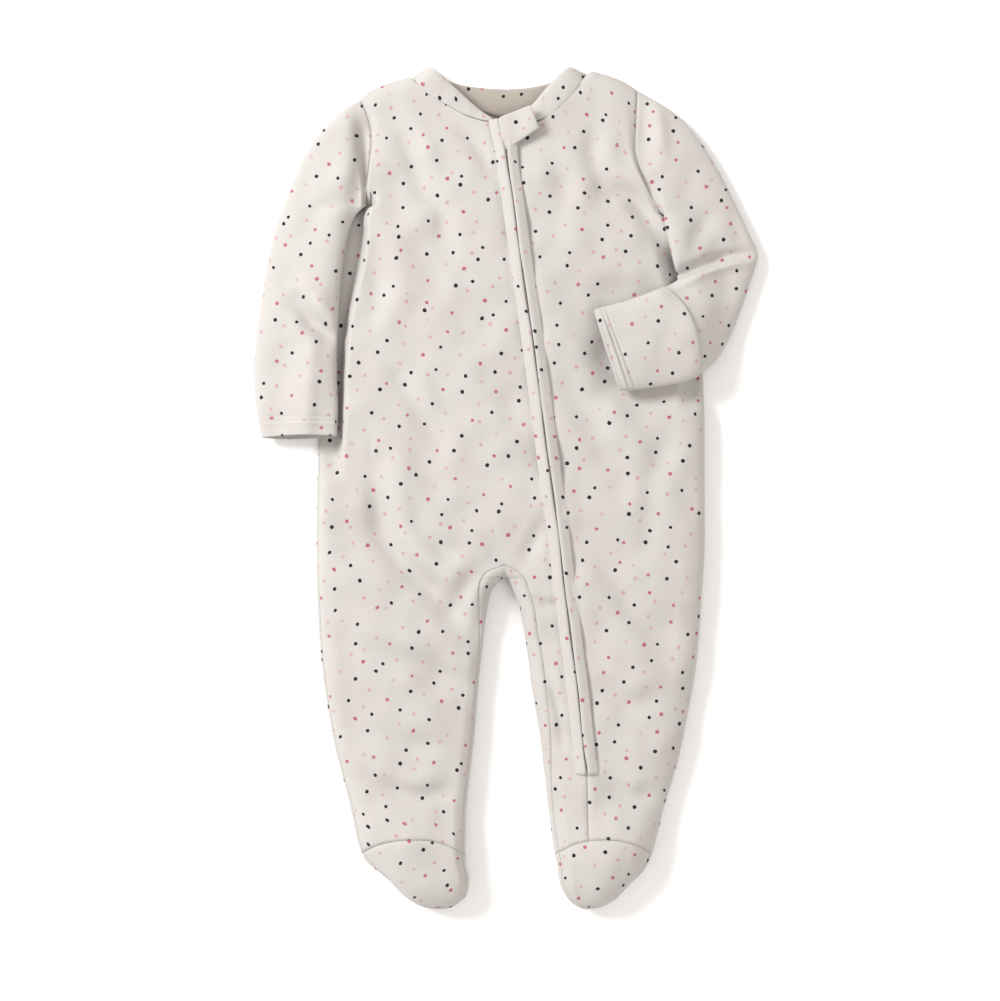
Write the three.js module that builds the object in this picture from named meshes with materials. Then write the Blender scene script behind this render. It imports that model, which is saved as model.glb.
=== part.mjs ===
// Footed baby sleepsuit, laid flat on its back with its natural loft.
// Millimetres. X runs across the chest, +Y runs from the feet to the neck, +Z points up from the surface.
// "right" and "left" are the wearer's: the right side of the garment lies at negative X.

import * as THREE from 'three';

// Driving dimensions
const cloth = 1.5;
const bandCloth = 2.2;
const lipCloth = 1.8;
const seamGap = 0.3;
const armholeGap = 0.65;
const layerGap = 0.35;
const brimHeight = 4.6;
const brimRoll = 2.6;
const rampRight = 14;
const footLeft = 9;
const rampLeft = 26;
const sleeveLoft = 13.5;
const zipSlot = 3;
const tapeHalf = 7;
const tapeThick = 0.9;
const coilHalf = 2.2;
const lipWidth = 7.6;
const lipPart = 0.5;
const lipSeat = 0.6;
const flapGap = 0.7;
const armGap = 1.6;
const bandGap = 0.7;
const backNeckRise = 6;
const sliderLength = 11;
const sliderWidth = 6;
const sliderHeight = 3;
const sliderTop = 243;
const guardCloth = 1.8;
const guardGap = 1.45;
const zipTopY = 242.5;
const lipTopY = 241;
const zipSteps = 24;
const restZ = 0;
const seamShare = 0.48;
const soleDraw = 11;
const underForearmDip = 4.5;
const neckTopY = 282;
const chestDepth = 74;
const pressedColumn = 3;

const armholeSteps = 8;
const shoulderRoll = 10;
const crotchX = -0.6;
const crotchY = -60;
const bridgeY = -52;
const toeSeamY = -234;
const heelY = -216;
const toeEndY = -282.4;
const toeCurveY = -260;
const zipEndY = -188;
const seamStartY = -202;

// Outlines seen from above. Columns: y, x
const rightEdgeTable = [
  [189.6, -94], [186.5, -100], [180, -106.5], [170, -111], [152, -115], [126, -118.6], [99, -121.4],
  [72, -123.8], [32, -126.3], [-48, -127.6], [-108.5, -125], [-162, -117.6], [-202, -107.8], [-229, -99.5],
  [-242.5, -92.8], [-256, -84], [-269.3, -72.7], [-276, -65.3], [-279.5, -59], [-281.4, -54], [-282.4, -48],
];
const rightInnerTable = [
  [-60, -0.6], [-64, -6], [-68.3, -9.7], [-81.7, -13.1], [-108.5, -16.4], [-135, -19.1], [-162, -21.1],
  [-189, -24.1], [-215.7, -27.1], [-242.5, -27.1], [-262.6, -25.1], [-272.7, -26.8], [-278, -32],
  [-280.8, -36.5], [-282.4, -41],
];
const leftInnerTable = [
  [-60, -0.6], [-64, 2.2], [-68.3, 4.2], [-81.7, 9], [-108.5, 13.7], [-135, 17.1], [-162, 21.8],
  [-189, 25.1], [-215.7, 28.5], [-242.5, 33.8], [-262.6, 35.2], [-272.7, 39.2], [-278, 43.5],
  [-280.8, 48], [-282.4, 51.5],
];
const leftEdgeTable = [
  [184, 103], [180, 107.5], [174, 111.5], [165, 115.5], [153, 119.2], [140, 122.8], [126, 126.2],
  [112.6, 128.6], [77, 132.3], [-8, 133], [-41.5, 133], [-95, 129.6], [-122, 127], [-148.7, 122.3],
  [-175.5, 116.9], [-202, 109.5], [-229, 99.5], [-242.5, 94.8], [-256, 90], [-269, 79.4], [-276, 72.7],
  [-279.8, 66], [-281.5, 61], [-282.4, 57],
];
const zipLineTable = [
  [243.5, -0.8], [223, -0.1], [187.7, 4.8], [146.7, 10.4], [107.3, 16.1], [55, 23.1], [5.4, 29.5],
  [-26.7, 34], [-65, 38.5], [-106, 43.6], [-142, 48.1], [-178, 51.9], [-187, 53.3], [-233, 54.5],
  [-260, 55.5], [-282.4, 54.3],
];
const middleTable = [[187.7, -40], [60, -28], [-20, -10], [-45, -2], [-60, -0.6]];

// Heights of the front above the surface at the fullest part of each level. Columns: y, height
const loftTable = [
  [282, 11], [262, 13], [246, 14], [220, 17], [187, 19.5], [120, 21], [40, 22], [-40, 22], [-100, 21],
  [-170, 20], [-215, 21], [-240, 25], [-262, 25.5], [-283, 23],
];

// How far each rolled edge reaches in from the outline. Columns: y, right edge, inner legs, left edge
const rollTable = [
  [190, 8, 12, 9], [100, 7, 12, 10], [40, 8, 12, 14], [0, 10, 12, 15], [-60, 11, 14, 15],
  [-80, 12, 12, 15], [-200, 12, 12, 14], [-245, 13, 11, 13], [-283, 6, 6, 6],
];

// Angle at which the inner leg seam lies round the rolled edge. Columns: y, degrees
const innerSeamTable = [[-50, 66], [-90, 64], [-140, 48], [-200, 34], [-283, 30]];

// Levels of the body below the armpits, down to the toes
const torsoLevels = [180, 168, 152, 134, 116, 98, 80, 62, 44, 26, 8, -10, -26, -40];
const legLevels = [
  bridgeY, crotchY, -69, -82, -98, -116, -136, -154, -171, zipEndY, seamStartY, heelY, toeSeamY, -247, -259,
  -269, -276, -280.6, toeEndY,
];

// Largest folds of the front. Columns: start x, start y, end x, end y, depth, half width
const foldTable = [
  [-88, 12, -81, -35, 2.6, 12], [-81, -35, -51, -68, 3, 12], [-51, -68, -25, -95, 2.4, 11],
  [-105, -102, -25, -135, 1.8, 13], [-81, 257, -55, 193, 1.6, 13], [-55, 200, -38, 163, 1.4, 12],
  [57, 220, 67, 198, 1.5, 12], [67, 198, 100, 171, 2.4, 12], [36, 79, 76, 12, 1.5, 14],
];

// Neckline and shoulders of the body panels, from the shoulder tips to the zip. Columns: x, y
const rightShoulder = [[-98.2, 260.6], [-91.5, 266.7], [-82.7, 270.7], [-72, 274.2], [-65, 275.6]];
const rightNeckline = [[-65, 275.6], [-49.7, 262], [-38.5, 256], [-29.5, 250.6], [-18, 246.4], [-3.8, 244]];
const leftNeckline = [[2.2, 243], [13, 242], [24, 246], [36, 255], [46, 266], [55.3, 278.4]];
const leftShoulder = [[55.3, 278.4], [66, 278], [75, 274.4], [83.4, 270.4], [88.1, 266.7]];
const rightArmhole = [
  [-98.2, 260.6], [-94.5, 252], [-92, 242.5], [-91.3, 230.5], [-92.3, 219.8], [-93.5, 205], [-94, 189.6],
];
const leftArmhole = [
  [88.1, 266.7], [87.4, 253], [86.8, 240], [86.1, 226.5], [88.1, 216], [93.5, 202], [103, 184],
];
const neckShareRight = 0.36;
const neckShareLeft = 0.62;

// Sleeves as rings from the armhole to the cuff.
// Columns: ring, outer x, outer y, inner x, inner y
const rightSleeveTable = [
  [0, -98.2, 260.6, -94, 189.6], [1, -108, 254.6, -99.8, 190.6], [2, -117.6, 246.6, -103.2, 186.5],
  [3, -127, 236.5, -105.4, 182], [4, -135.5, 223, -106.5, 176], [5, -143, 206.5, -107.6, 168],
  [6, -150, 189, -109.4, 157], [7, -156, 172, -111.4, 145], [8, -161, 148, -113.2, 128],
  [9, -165, 124, -114, 110], [10, -168, 100, -114.2, 92], [11, -169.2, 78, -114.2, 74],
  [12, -168, 58, -114, 56], [13, -165.8, 44, -114, 44], [14, -163.8, 33.5, -114, 34.6],
];
const leftSleeveTable = [
  [0, 88.1, 266.7, 103, 184], [1, 99, 260.5, 105.6, 182.4], [2, 110, 253.5, 105.6, 177],
  [3, 122, 243, 106.8, 171], [4, 134, 227, 108.4, 164], [5, 145.6, 207, 110.2, 156.5],
  [6, 155.8, 186, 112, 149.5], [7, 163.8, 169, 114, 143.5], [8, 170.6, 157.8, 114.6, 140],
  [9, 167.6, 149, 113.6, 138.6], [10, 163.4, 137, 111, 137], [11, 157.5, 119, 107, 135],
  [12, 150.5, 102, 102, 132.6], [13, 142, 87.5, 96.4, 130], [14, 131.5, 77.5, 90.5, 127.8],
  [15, 119.5, 71.3, 84, 125.4], [16, 107.5, 68.7, 77.6, 123.4], [17, 96, 66.9, 71, 121.6],
  [18, 85, 65.3, 64.4, 119.8], [19, 74.8, 64.7, 58.2, 117.9],
];
const rightCuffRing = 14;
const leftCuffRing = 19;
const leftElbowRing = 8;
const elbowDip = 4.5;
const leftFlapRings = [13.9, 12.5];
const rightFlapRing = 10.2;

// Neckband. Columns: outer x, outer y, inner x, inner y, lift of the inner edge over the seam
const bandFrontRight = [
  [-5, 244.6, -6, 249.5, -5], [-18, 246.6, -17, 252.5, -4.5], [-29.5, 250.8, -25.5, 258.5, -3],
  [-38.5, 256.2, -33.4, 266.2, -1.5], [-49.7, 262.2, -41.6, 274, 0], [-58.5, 269.5, -47, 279.6, 0],
];
const bandBack = [
  [-61.6, 274.6, -49.3, 281, 0], [-49.5, 265.4, -41, 275.5, 0], [-36, 261, -32.4, 272, 0],
  [-24, 255.3, -20, 270, 0], [-10, 251.3, -9, 269, 0], [6, 249.8, 6, 268.9, 0], [24, 253.8, 22.4, 271, 0],
  [40.3, 264, 34, 275, 0], [52.3, 276.6, 41.4, 281, 0],
];
const bandFrontLeft = [
  [48.7, 270.6, 39, 279.5, 0], [40.6, 260.6, 32.6, 271.6, -0.5], [31, 251, 25.6, 264.4, -2],
  [20, 245.9, 16.6, 255.8, -3.5], [3.4, 243.4, 4.5, 250.6, -5],
];

// Shape of the zip guard. Columns: x, y
const guardCorners = [[-5.4, 247.2], [16.5, 254.6], [22.4, 238.6], [-1.4, 224.6]];

const colours = {
  cloth: 0xf0ece6, band: 0xf3efe9, zip: 0xf4f1ec, slider: 0xeeeae4,
};

const clamp = (value, low = 0, high = 1) => Math.min(high, Math.max(low, value));
const mix = (a, b, t) => a + (b - a) * t;
const ease = (low, high, value) => {
  const t = clamp((value - low) / (high - low));
  return t * t * (3 - 2 * t);
};
const radians = (degrees) => degrees * Math.PI / 180;

// A smooth function through the rows of a table, keyed by the first column
function through(table) {
  const rows = [...table].sort((p, q) => p[0] - q[0]);
  const last = rows.length - 1;
  const slope = (i, c) => {
    const before = rows[Math.max(i - 1, 0)];
    const after = rows[Math.min(i + 1, last)];
    return (after[c] - before[c]) / (after[0] - before[0]);
  };
  return (key) => {
    const k = clamp(key, rows[0][0], rows[last][0]);
    let i = 0;
    while (i < last - 1 && k > rows[i + 1][0]) i += 1;
    const width = rows[i + 1][0] - rows[i][0];
    const t = (k - rows[i][0]) / width;
    const values = [];
    for (let c = 1; c < rows[0].length; c += 1) {
      const [p, q] = [rows[i][c], rows[i + 1][c]];
      const [m, n] = [slope(i, c) * width, slope(i + 1, c) * width];
      const bend = t * t * (3 - 2 * t);
      values.push(mix(p, q, bend) + m * t * (1 - t) * (1 - t) - n * t * t * (1 - t));
    }
    return values;
  };
}

// A smooth plan curve through points, as a function of the share of its length
function planCurve(points) {
  const knots = points.map(([x, y]) => new THREE.Vector3(x, y, 0));
  const curve = new THREE.CatmullRomCurve3(knots, false, 'centripetal');
  return (share) => {
    const p = curve.getPointAt(clamp(share));
    return [p.x, p.y];
  };
}

const joined = (first, second, at) => (share) => (share < at
  ? first(share / at)
  : second((share - at) / (1 - at)));

const rightEdge = through(rightEdgeTable);
const rightInner = through(rightInnerTable);
const leftInner = through(leftInnerTable);
const leftEdge = through(leftEdgeTable);
const zipLine = through(zipLineTable);
const middle = through(middleTable);
const loft = through(loftTable);
const roll = through(rollTable);
const innerSeam = through(innerSeamTable);

// Half width of the slot between the front panels, which closes below the zip
const slotHalf = (y) => zipSlot * (1 - ease(zipEndY, seamStartY, y));

// Depth of the folds at a point of the front
function foldDepth(x, y) {
  let depth = 0;
  for (const [x0, y0, x1, y1, most, half] of foldTable) {
    const along = clamp(((x - x0) * (x1 - x0) + (y - y0) * (y1 - y0)) / ((x1 - x0) ** 2 + (y1 - y0) ** 2));
    const away = Math.hypot(x - mix(x0, x1, along), y - mix(y0, y1, along));
    depth = Math.max(depth, most * (1 - ease(0, half, away)));
  }
  return depth;
}

// How far the body's margin is pressed down by the arm that lies on it: 1 at the margin, 0 in the open
const footRight = (y) => mix(14, 12, ease(60, 140, y));
const pressRight = (y) => ease(4, 30, y) * (1 - ease(172, 189, y));
const pressLeft = (y) => ease(46, 72, y) * (1 - ease(178, 188, y));
function pressed(x, y) {
  const fromRight = x - rightEdge(y)[0] - footRight(y);
  const fromLeft = leftEdge(y)[0] - x - footLeft;
  return Math.max(
    (1 - ease(0, rampRight, fromRight)) * pressRight(y),
    (1 - ease(0, rampLeft, fromLeft)) * pressLeft(y),
  );
}

// Height of the front at a point away from its rolled edges
function frontHeight(x, y) {
  const yy = clamp(y, toeEndY, neckTopY);
  const outer = [y > 189 ? -96 : rightEdge(yy)[0], y > 184 ? 100 : leftEdge(yy)[0]];
  const torso = Math.sin(Math.PI * clamp((x - outer[0]) / (outer[1] - outer[0]), 0.04, 0.96));
  const leg = x < crotchX
    ? [outer[0], rightInner(yy)[0]]
    : [leftInner(yy)[0], outer[1]];
  const legCrown = Math.sin(Math.PI * clamp((x - leg[0]) / (leg[1] - leg[0]), 0.06, 0.94));
  const crown = mix(torso, legCrown, ease(-10, -110, y));
  const open = loft(yy)[0] * (0.8 + 0.2 * crown) - foldDepth(x, y);
  const underForearm = ease(50, 66, y) * (1 - ease(128, 146, y)) * ease(45, 70, x);
  const bed = open - underForearmDip * underForearm;
  return mix(bed, brimHeight, pressed(x, y));
}

// Height of the seam line on a rolled edge
const edgeSeam = (x, y) => seamShare * frontHeight(x, y);

// A point of the body in plan with its height in front and behind.
// lift is 1 where the cloth is at its full height and 0 on the seam line of a rolled edge.
const bodyPoint = (x, y, lift, seam) => ({
  x, y, top: mix(seam, frontHeight(x, y), lift), bottom: seam * (1 - lift),
});

// Columns of the right half: rolled edge, open cloth, roll of the inner leg; then the strip inside the zip
const edgeAngles = [0, 30, 60, 90];
const brimAngles = [0, 45, 90, 90];
// Columns of a rolled outer edge; a margin that an arm presses flat has its last column where it rises
function edgeColumns(width, press, foot) {
  return edgeAngles.map((angle, k) => {
    const turn = radians(mix(angle, brimAngles[k], press));
    const reach = mix(width, brimRoll, press) * (1 - Math.cos(turn));
    return { reach: k === pressedColumn ? mix(reach, foot, press) : reach, lift: Math.sin(turn) };
  });
}
const flatColumns = 3;
const rightColumns = 11;
const stripColumns = 5;
const halfColumns = rightColumns + stripColumns;
const leftColumns = 8;

const topRightShare = (column) => (column <= 5
  ? neckShareRight * column / 5
  : mix(neckShareRight, 1, (column - 5) / (halfColumns - 1 - 5)));
const topLeftShare = (column) => (column <= 3
  ? neckShareLeft * column / 3
  : mix(neckShareLeft, 1, (column - 3) / (leftColumns - 1 - 3)));

// Offsets across the right half at one level, from its outer edge
function rightOffsets(y) {
  const xOuter = rightEdge(y)[0];
  const xInner = y > crotchY ? middle(y)[0] : rightInner(y)[0];
  const xStrip = y > crotchY ? xInner : leftInner(y)[0];
  const xZip = zipLine(y)[0] - slotHalf(y);
  const width = xInner - xOuter;
  const edge = edgeColumns(Math.min(roll(y)[0], 0.42 * width), pressRight(y), footRight(y));
  const outerRoll = edge[3].reach;
  const innerRoll = Math.min(roll(y)[1], 0.42 * width, 0.6 * (xZip - xStrip));
  const seamAngle = innerSeam(y)[0];
  const innerAngles = [90, seamAngle, seamAngle / 2, 0];
  const across = edge.map(({ reach }) => xOuter + reach);
  for (let i = 1; i <= flatColumns; i += 1) {
    across.push(mix(xOuter + outerRoll, xInner - innerRoll, i / (flatColumns + 1)));
  }
  for (const angle of innerAngles) across.push(xInner - innerRoll * (1 - Math.cos(radians(angle))));
  for (const angle of [seamAngle / 2, seamAngle, 90]) {
    across.push(xStrip + innerRoll * (1 - Math.cos(radians(angle))));
  }
  across.push(mix(xStrip + innerRoll, xZip, 0.5), xZip);
  const lifts = edge.map(({ lift }) => lift);
  for (let i = 1; i <= flatColumns; i += 1) lifts.push(1);
  for (const angle of innerAngles) lifts.push(Math.sin(radians(angle)));
  for (const angle of [seamAngle / 2, seamAngle, 90]) lifts.push(Math.sin(radians(angle)));
  lifts.push(1, 1);
  return { across, lifts, xInner, xStrip };
}

function leftOffsets(y) {
  const xZip = zipLine(y)[0] + slotHalf(y);
  const xOuter = leftEdge(y)[0];
  const edge = edgeColumns(Math.min(roll(y)[2], 0.6 * (xOuter - xZip)), pressLeft(y), footLeft).reverse();
  const outerRoll = edge[0].reach;
  const across = [xZip];
  for (let i = 1; i <= flatColumns; i += 1) {
    across.push(mix(xZip, xOuter - outerRoll, i / (flatColumns + 1)));
  }
  const lifts = across.map(() => 1);
  for (const { reach, lift } of edge) {
    across.push(xOuter - reach);
    lifts.push(lift);
  }
  return { across, lifts };
}

// How strongly the crotch valley has closed at a level: 0 above it, 1 from the crotch down
const valley = (y) => ease(-24, crotchY, y) ** 1.6;

// Share of the height that is left towards the toe end
const toeLift = (y) => Math.sqrt(1 - clamp((toeCurveY - y) / (toeCurveY - toeEndY)) ** 2);

// One level of the body below the armpits
function rowBelowArmpit(y) {
  const right = rightOffsets(y);
  const left = leftOffsets(y);
  const closed = valley(y);
  const arch = (x) => {
    const [low, high] = x <= right.xInner
      ? [right.across[0], right.xInner]
      : [right.xStrip, left.across.at(-1)];
    const off = Math.abs(2 * clamp((x - low) / (high - low)) - 1) ** 2.5;
    return soleDraw * off * (ease(-205, toeSeamY, y) - ease(toeSeamY, -266, y));
  };
  const seams = {
    outerRight: edgeSeam(right.across[0], y),
    inner: edgeSeam(right.xInner, Math.min(y, crotchY)),
    outerLeft: edgeSeam(left.across.at(-1), y),
  };
  const toe = toeLift(y);
  const row = [];
  right.across.forEach((x, column) => {
    const nearInner = column > 6;
    const inStrip = column >= rightColumns;
    const share = clamp((column - 3) / 4);
    const seam = inStrip
      ? mix(seams.inner, seams.outerLeft, clamp((column - 13) / 3))
      : mix(seams.outerRight, seams.inner, share);
    const lift = nearInner ? mix(1, right.lifts[column], closed) : right.lifts[column];
    row.push(bodyPoint(x, y - arch(x), lift * toe, seam));
  });
  left.across.forEach((x, column) => {
    const seam = seams.outerLeft;
    row.push(bodyPoint(x, y - arch(x), left.lifts[column] * toe, seam));
  });
  // Below the crotch the strip's edge is its own column; above it both lanes share one
  const stripDraw = arch(right.xStrip + 0.001);
  const stripEdge = bodyPoint(right.xStrip, y - stripDraw, (1 - closed) * toe, seams.inner);
  return { row, stripEdge };
}

// Coons patch between four plan curves
function patch(top, bottom, start, end) {
  const [topStart, topEnd, bottomStart, bottomEnd] = [top(0), top(1), bottom(0), bottom(1)];
  return (a, b) => [0, 1].map((i) => (1 - b) * top(a)[i] + b * bottom(a)[i]
    + (1 - a) * start(b)[i] + a * end(b)[i]
    - (1 - a) * ((1 - b) * topStart[i] + b * bottomStart[i])
    - a * ((1 - b) * topEnd[i] + b * bottomEnd[i]));
}

const armpit = { right: rightArmhole.at(-1), left: leftArmhole.at(-1), zipY: 187.7 };

const armpitRight = rightOffsets(armpit.zipY);
const armpitLeft = leftOffsets(armpit.zipY);
const shares = (across) => across.map((x) => (x - across[0]) / (across.at(-1) - across[0]));
const armpitShares = { right: shares(armpitRight.across), left: shares(armpitLeft.across) };
const zipTop = 243.5;
const zipEdge = (side) => (share) => {
  const y = mix(zipTop, armpit.zipY, share);
  return [zipLine(y)[0] + side * zipSlot, y];
};
const chestRight = patch(
  joined(planCurve(rightShoulder), planCurve(rightNeckline), neckShareRight),
  (a) => [mix(armpit.right[0], zipEdge(-1)(1)[0], a), mix(armpit.right[1], armpit.zipY, a)],
  planCurve(rightArmhole),
  zipEdge(-1),
);
const chestLeft = patch(
  joined(planCurve(leftNeckline), planCurve(leftShoulder), neckShareLeft),
  (a) => [mix(zipEdge(1)(1)[0], armpit.left[0], a), mix(armpit.zipY, armpit.left[1], a)],
  zipEdge(1),
  planCurve(leftArmhole),
);

// One level of the chest: step 0 is the shoulder seam and neckline, the last one is level with the armpits
function chestRow(step) {
  const angle = Math.PI * step / armholeSteps;
  const share = (1 - Math.cos(angle)) / 2;
  const ring = Math.sin(angle) ** 0.8;
  const toShape = ease(0, 0.9, share);
  const place = ({ patchShape, lowShares, topShare, count, outerColumn, isShoulder, lifts }) => {
    const edge = patchShape(outerColumn === 0 ? 0 : 1, share);
    const seam = edgeSeam(edge[0], edge[1]);
    return Array.from({ length: count }, (_, column) => {
      const a = mix(topShare(column), lowShares[column], toShape);
      const [x, y] = patchShape(a, share);
      const edgeLift = mix(lifts[column], 1, 1 - mix(1 - ring, 1, ease(0.75, 1, share)));
      const drop = share * chestDepth;
      const rolled = Math.sqrt(1 - (1 - clamp(drop / shoulderRoll)) ** 2);
      const shoulderLift = mix(1, rolled, isShoulder(column));
      const isEdge = column === outerColumn;
      return bodyPoint(x, y, isEdge ? ring : Math.min(edgeLift, 1) * shoulderLift, seam);
    });
  };
  const rightLifts = armpitRight.lifts.map((lift, column) => (column > 6 ? 1 : lift));
  return [
    ...place({
      patchShape: chestRight, lowShares: armpitShares.right, topShare: topRightShare, count: halfColumns,
      outerColumn: 0, isShoulder: (column) => 1 - ease(4, 6, column), lifts: rightLifts,
    }),
    ...place({
      patchShape: chestLeft, lowShares: armpitShares.left, topShare: topLeftShare, count: leftColumns,
      outerColumn: leftColumns - 1, isShoulder: (column) => ease(2, 4, column), lifts: armpitLeft.lifts,
    }),
  ];
}

const bodyRows = [];
for (let step = 0; step <= armholeSteps; step += 1) {
  const row = chestRow(step);
  bodyRows.push({ row, stripEdge: row[rightColumns - 1], y: row[8].y });
}
for (const y of [...torsoLevels, ...legLevels]) bodyRows.push({ ...rowBelowArmpit(y), y });

// The whole surface is gathered here, so that panels that meet share their seam lines and their normals
class Skin {
  constructor() {
    this.points = [];
    this.lookup = new Map();
    this.faces = [];
  }

  vertex([x, y, z]) {
    const key = [x, y, z].map((value) => Math.round(value * 500)).join(' ');
    if (!this.lookup.has(key)) {
      this.lookup.set(key, this.points.length);
      this.points.push(new THREE.Vector3(x, y, z));
    }
    return this.lookup.get(key);
  }

  // Adds a grid of points; nameOf(row, column) gives the panel of each cell
  grid(rows, nameOf, turned = false) {
    const ids = rows.map((row) => row.map((point) => this.vertex(point)));
    for (let i = 0; i < ids.length - 1; i += 1) {
      for (let j = 0; j < ids[i].length - 1; j += 1) {
        const corners = [ids[i][j], ids[i + 1][j], ids[i + 1][j + 1], ids[i][j + 1]];
        if (turned) corners.reverse();
        const distinct = corners.filter((id, k) => id !== corners[(k + 3) % 4]);
        if (distinct.length > 2) this.faces.push({ name: nameOf(i, j), corners: distinct });
      }
    }
  }

  measureNormals() {
    this.normals = this.points.map(() => new THREE.Vector3());
    for (const { corners } of this.faces) {
      const normal = this.faceNormal(corners);
      for (const id of corners) this.normals[id].add(normal);
    }
    for (const normal of this.normals) normal.normalize();
    this.spread = this.points.map(() => 1);
    for (const { corners } of this.faces) {
      const normal = this.faceNormal(corners).normalize();
      for (const id of corners) this.spread[id] = Math.min(this.spread[id], normal.dot(this.normals[id]));
    }
  }

  faceNormal(corners) {
    const [a, b, c, d] = corners.map((id) => this.points[id]);
    const across = c.clone().sub(a);
    const other = (d ?? c).clone().sub(b);
    return across.cross(other).multiplyScalar(0.5);
  }
}

// A wall of cloth over some faces of the skin: the outer side is drawn in by half a seam gap at its edges
function wallGeometry(skin, faces, thickness, raise = 0, drawIn = seamGap / 2) {
  const edges = new Map();
  for (const { corners } of faces) {
    corners.forEach((a, k) => {
      const b = corners[(k + 1) % corners.length];
      edges.set(`${a} ${b}`, [a, b]);
    });
  }
  const border = [...edges.values()].filter(([a, b]) => !edges.has(`${b} ${a}`));
  const inward = new Map();
  for (const [a, b] of border) {
    const along = skin.points[b].clone().sub(skin.points[a]);
    for (const id of [a, b]) {
      const side = skin.normals[id].clone().cross(along).normalize();
      inward.set(id, (inward.get(id) ?? new THREE.Vector3()).add(side));
    }
  }
  const used = [...new Set(faces.flatMap(({ corners }) => corners))];
  const place = new Map(used.map((id, index) => [id, index]));
  const positions = [];
  const drawn = (id) => {
    const point = skin.points[id].clone();
    if (inward.has(id)) point.addScaledVector(inward.get(id).clone().normalize(), drawIn);
    return point;
  };
  for (const depth of [-raise, thickness - raise]) {
    for (const id of used) {
      const thinned = depth > 0 ? depth * clamp(0.1 + skin.spread[id], 0.3, 1) : depth;
      const point = drawn(id).addScaledVector(skin.normals[id], -thinned);
      positions.push(point.x, point.y, Math.max(point.z, restZ));
    }
  }
  const count = used.length;
  const index = [];
  const quad = (a, b, c, d) => index.push(a, b, c, a, c, d);
  for (const { corners } of faces) {
    const ids = corners.map((id) => place.get(id));
    for (let k = 1; k < ids.length - 1; k += 1) {
      index.push(ids[0], ids[k], ids[k + 1]);
      index.push(ids[0] + count, ids[k + 1] + count, ids[k] + count);
    }
  }
  for (const [a, b] of border) {
    const [p, q] = [place.get(a), place.get(b)];
    quad(q, p, p + count, q + count);
  }
  const geometry = new THREE.BufferGeometry();
  geometry.setAttribute('position', new THREE.Float32BufferAttribute(positions, 3));
  geometry.setIndex(index);
  return geometry;
}

const skin = new Skin();
const rowOf = (y) => bodyRows.findIndex((row) => Math.abs(row.y - y) < 0.01);
const bridgeRow = rowOf(bridgeY);
const crotchRow = rowOf(crotchY);
const heelRow = rowOf(heelY);
const toeSeamRow = rowOf(toeSeamY);
const lastRow = bodyRows.length - 1;

const frontPoint = (p) => [p.x, p.y, p.top];
// The back's neckline lies higher than the front's
const neckRise = (p) => backNeckRise * ease(236, 246, p.y) * ease(-64, -30, p.x) * (1 - ease(25, 54, p.x));
const backPoint = (p) => [p.x, p.y + neckRise(p), Math.max(p.bottom, restZ)];

// Cells of the front by column, counted across the right half, the strip inside the zip and the left half
function frontName(row, column, lane) {
  const foot = row >= toeSeamRow;
  const isRightLeg = lane === 'right';
  const rim = (isRightLeg && ((column === 0 && row >= armholeSteps) || (column >= 8 && row >= bridgeRow)))
    || (lane === 'strip' && column <= 1 && row >= bridgeRow)
    || (foot && lane === 'left' && column === leftColumns - 2);
  if (foot && (rim || row === lastRow - 1)) return isRightLeg ? 'sole_right' : 'sole_left';
  if (foot) return isRightLeg ? 'foot_upper_right' : 'foot_upper_left';
  if (rim) return 'back';
  return lane === 'left' ? 'front_left' : 'front_right';
}

function backName(row, isRightLeg) {
  if (row < heelRow) return 'back';
  return isRightLeg ? 'sole_right' : 'sole_left';
}

const rightLane = bodyRows.map(({ row }) => row.slice(0, rightColumns));
const stripLane = bodyRows.map(({ row, stripEdge }, i) => [
  i <= crotchRow ? row[rightColumns - 1] : stripEdge, ...row.slice(rightColumns, halfColumns),
]);
const leftLane = bodyRows.map(({ row }) => row.slice(halfColumns));
const backStrip = stripLane.map((row, i) => {
  const zipPoint = { ...leftLane[i][0], x: (row[5].x + leftLane[i][0].x) / 2 };
  return [...row.slice(0, 4), zipPoint, ...leftLane[i].slice(1)];
});

skin.grid(rightLane.map((row) => row.map(frontPoint)), (i, j) => frontName(i, j, 'right'));
skin.grid(stripLane.map((row) => row.map(frontPoint)), (i, j) => frontName(i, j, 'strip'));
skin.grid(leftLane.map((row) => row.map(frontPoint)), (i, j) => frontName(i, j, 'left'));
skin.grid(rightLane.map((row) => row.map(backPoint)), (i) => backName(i, true), true);
skin.grid(backStrip.map((row) => row.map(backPoint)), (i) => backName(i, false), true);

// Height of what a sleeve rests on at a point: the surface, or the body's margin and front
function bedHeight(x, y, lift) {
  const inFromRight = x - rightEdge(y)[0];
  const inFromLeft = leftEdge(y)[0] - x;
  const inside = x < 0
    ? ease(-12, -1, inFromRight) * (1 - ease(177, 187, y))
    : ease(-14, -2, inFromLeft) * (1 - ease(176, 185, y));
  return inside * (frontHeight(x, y) + armGap + lift);
}

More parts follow.
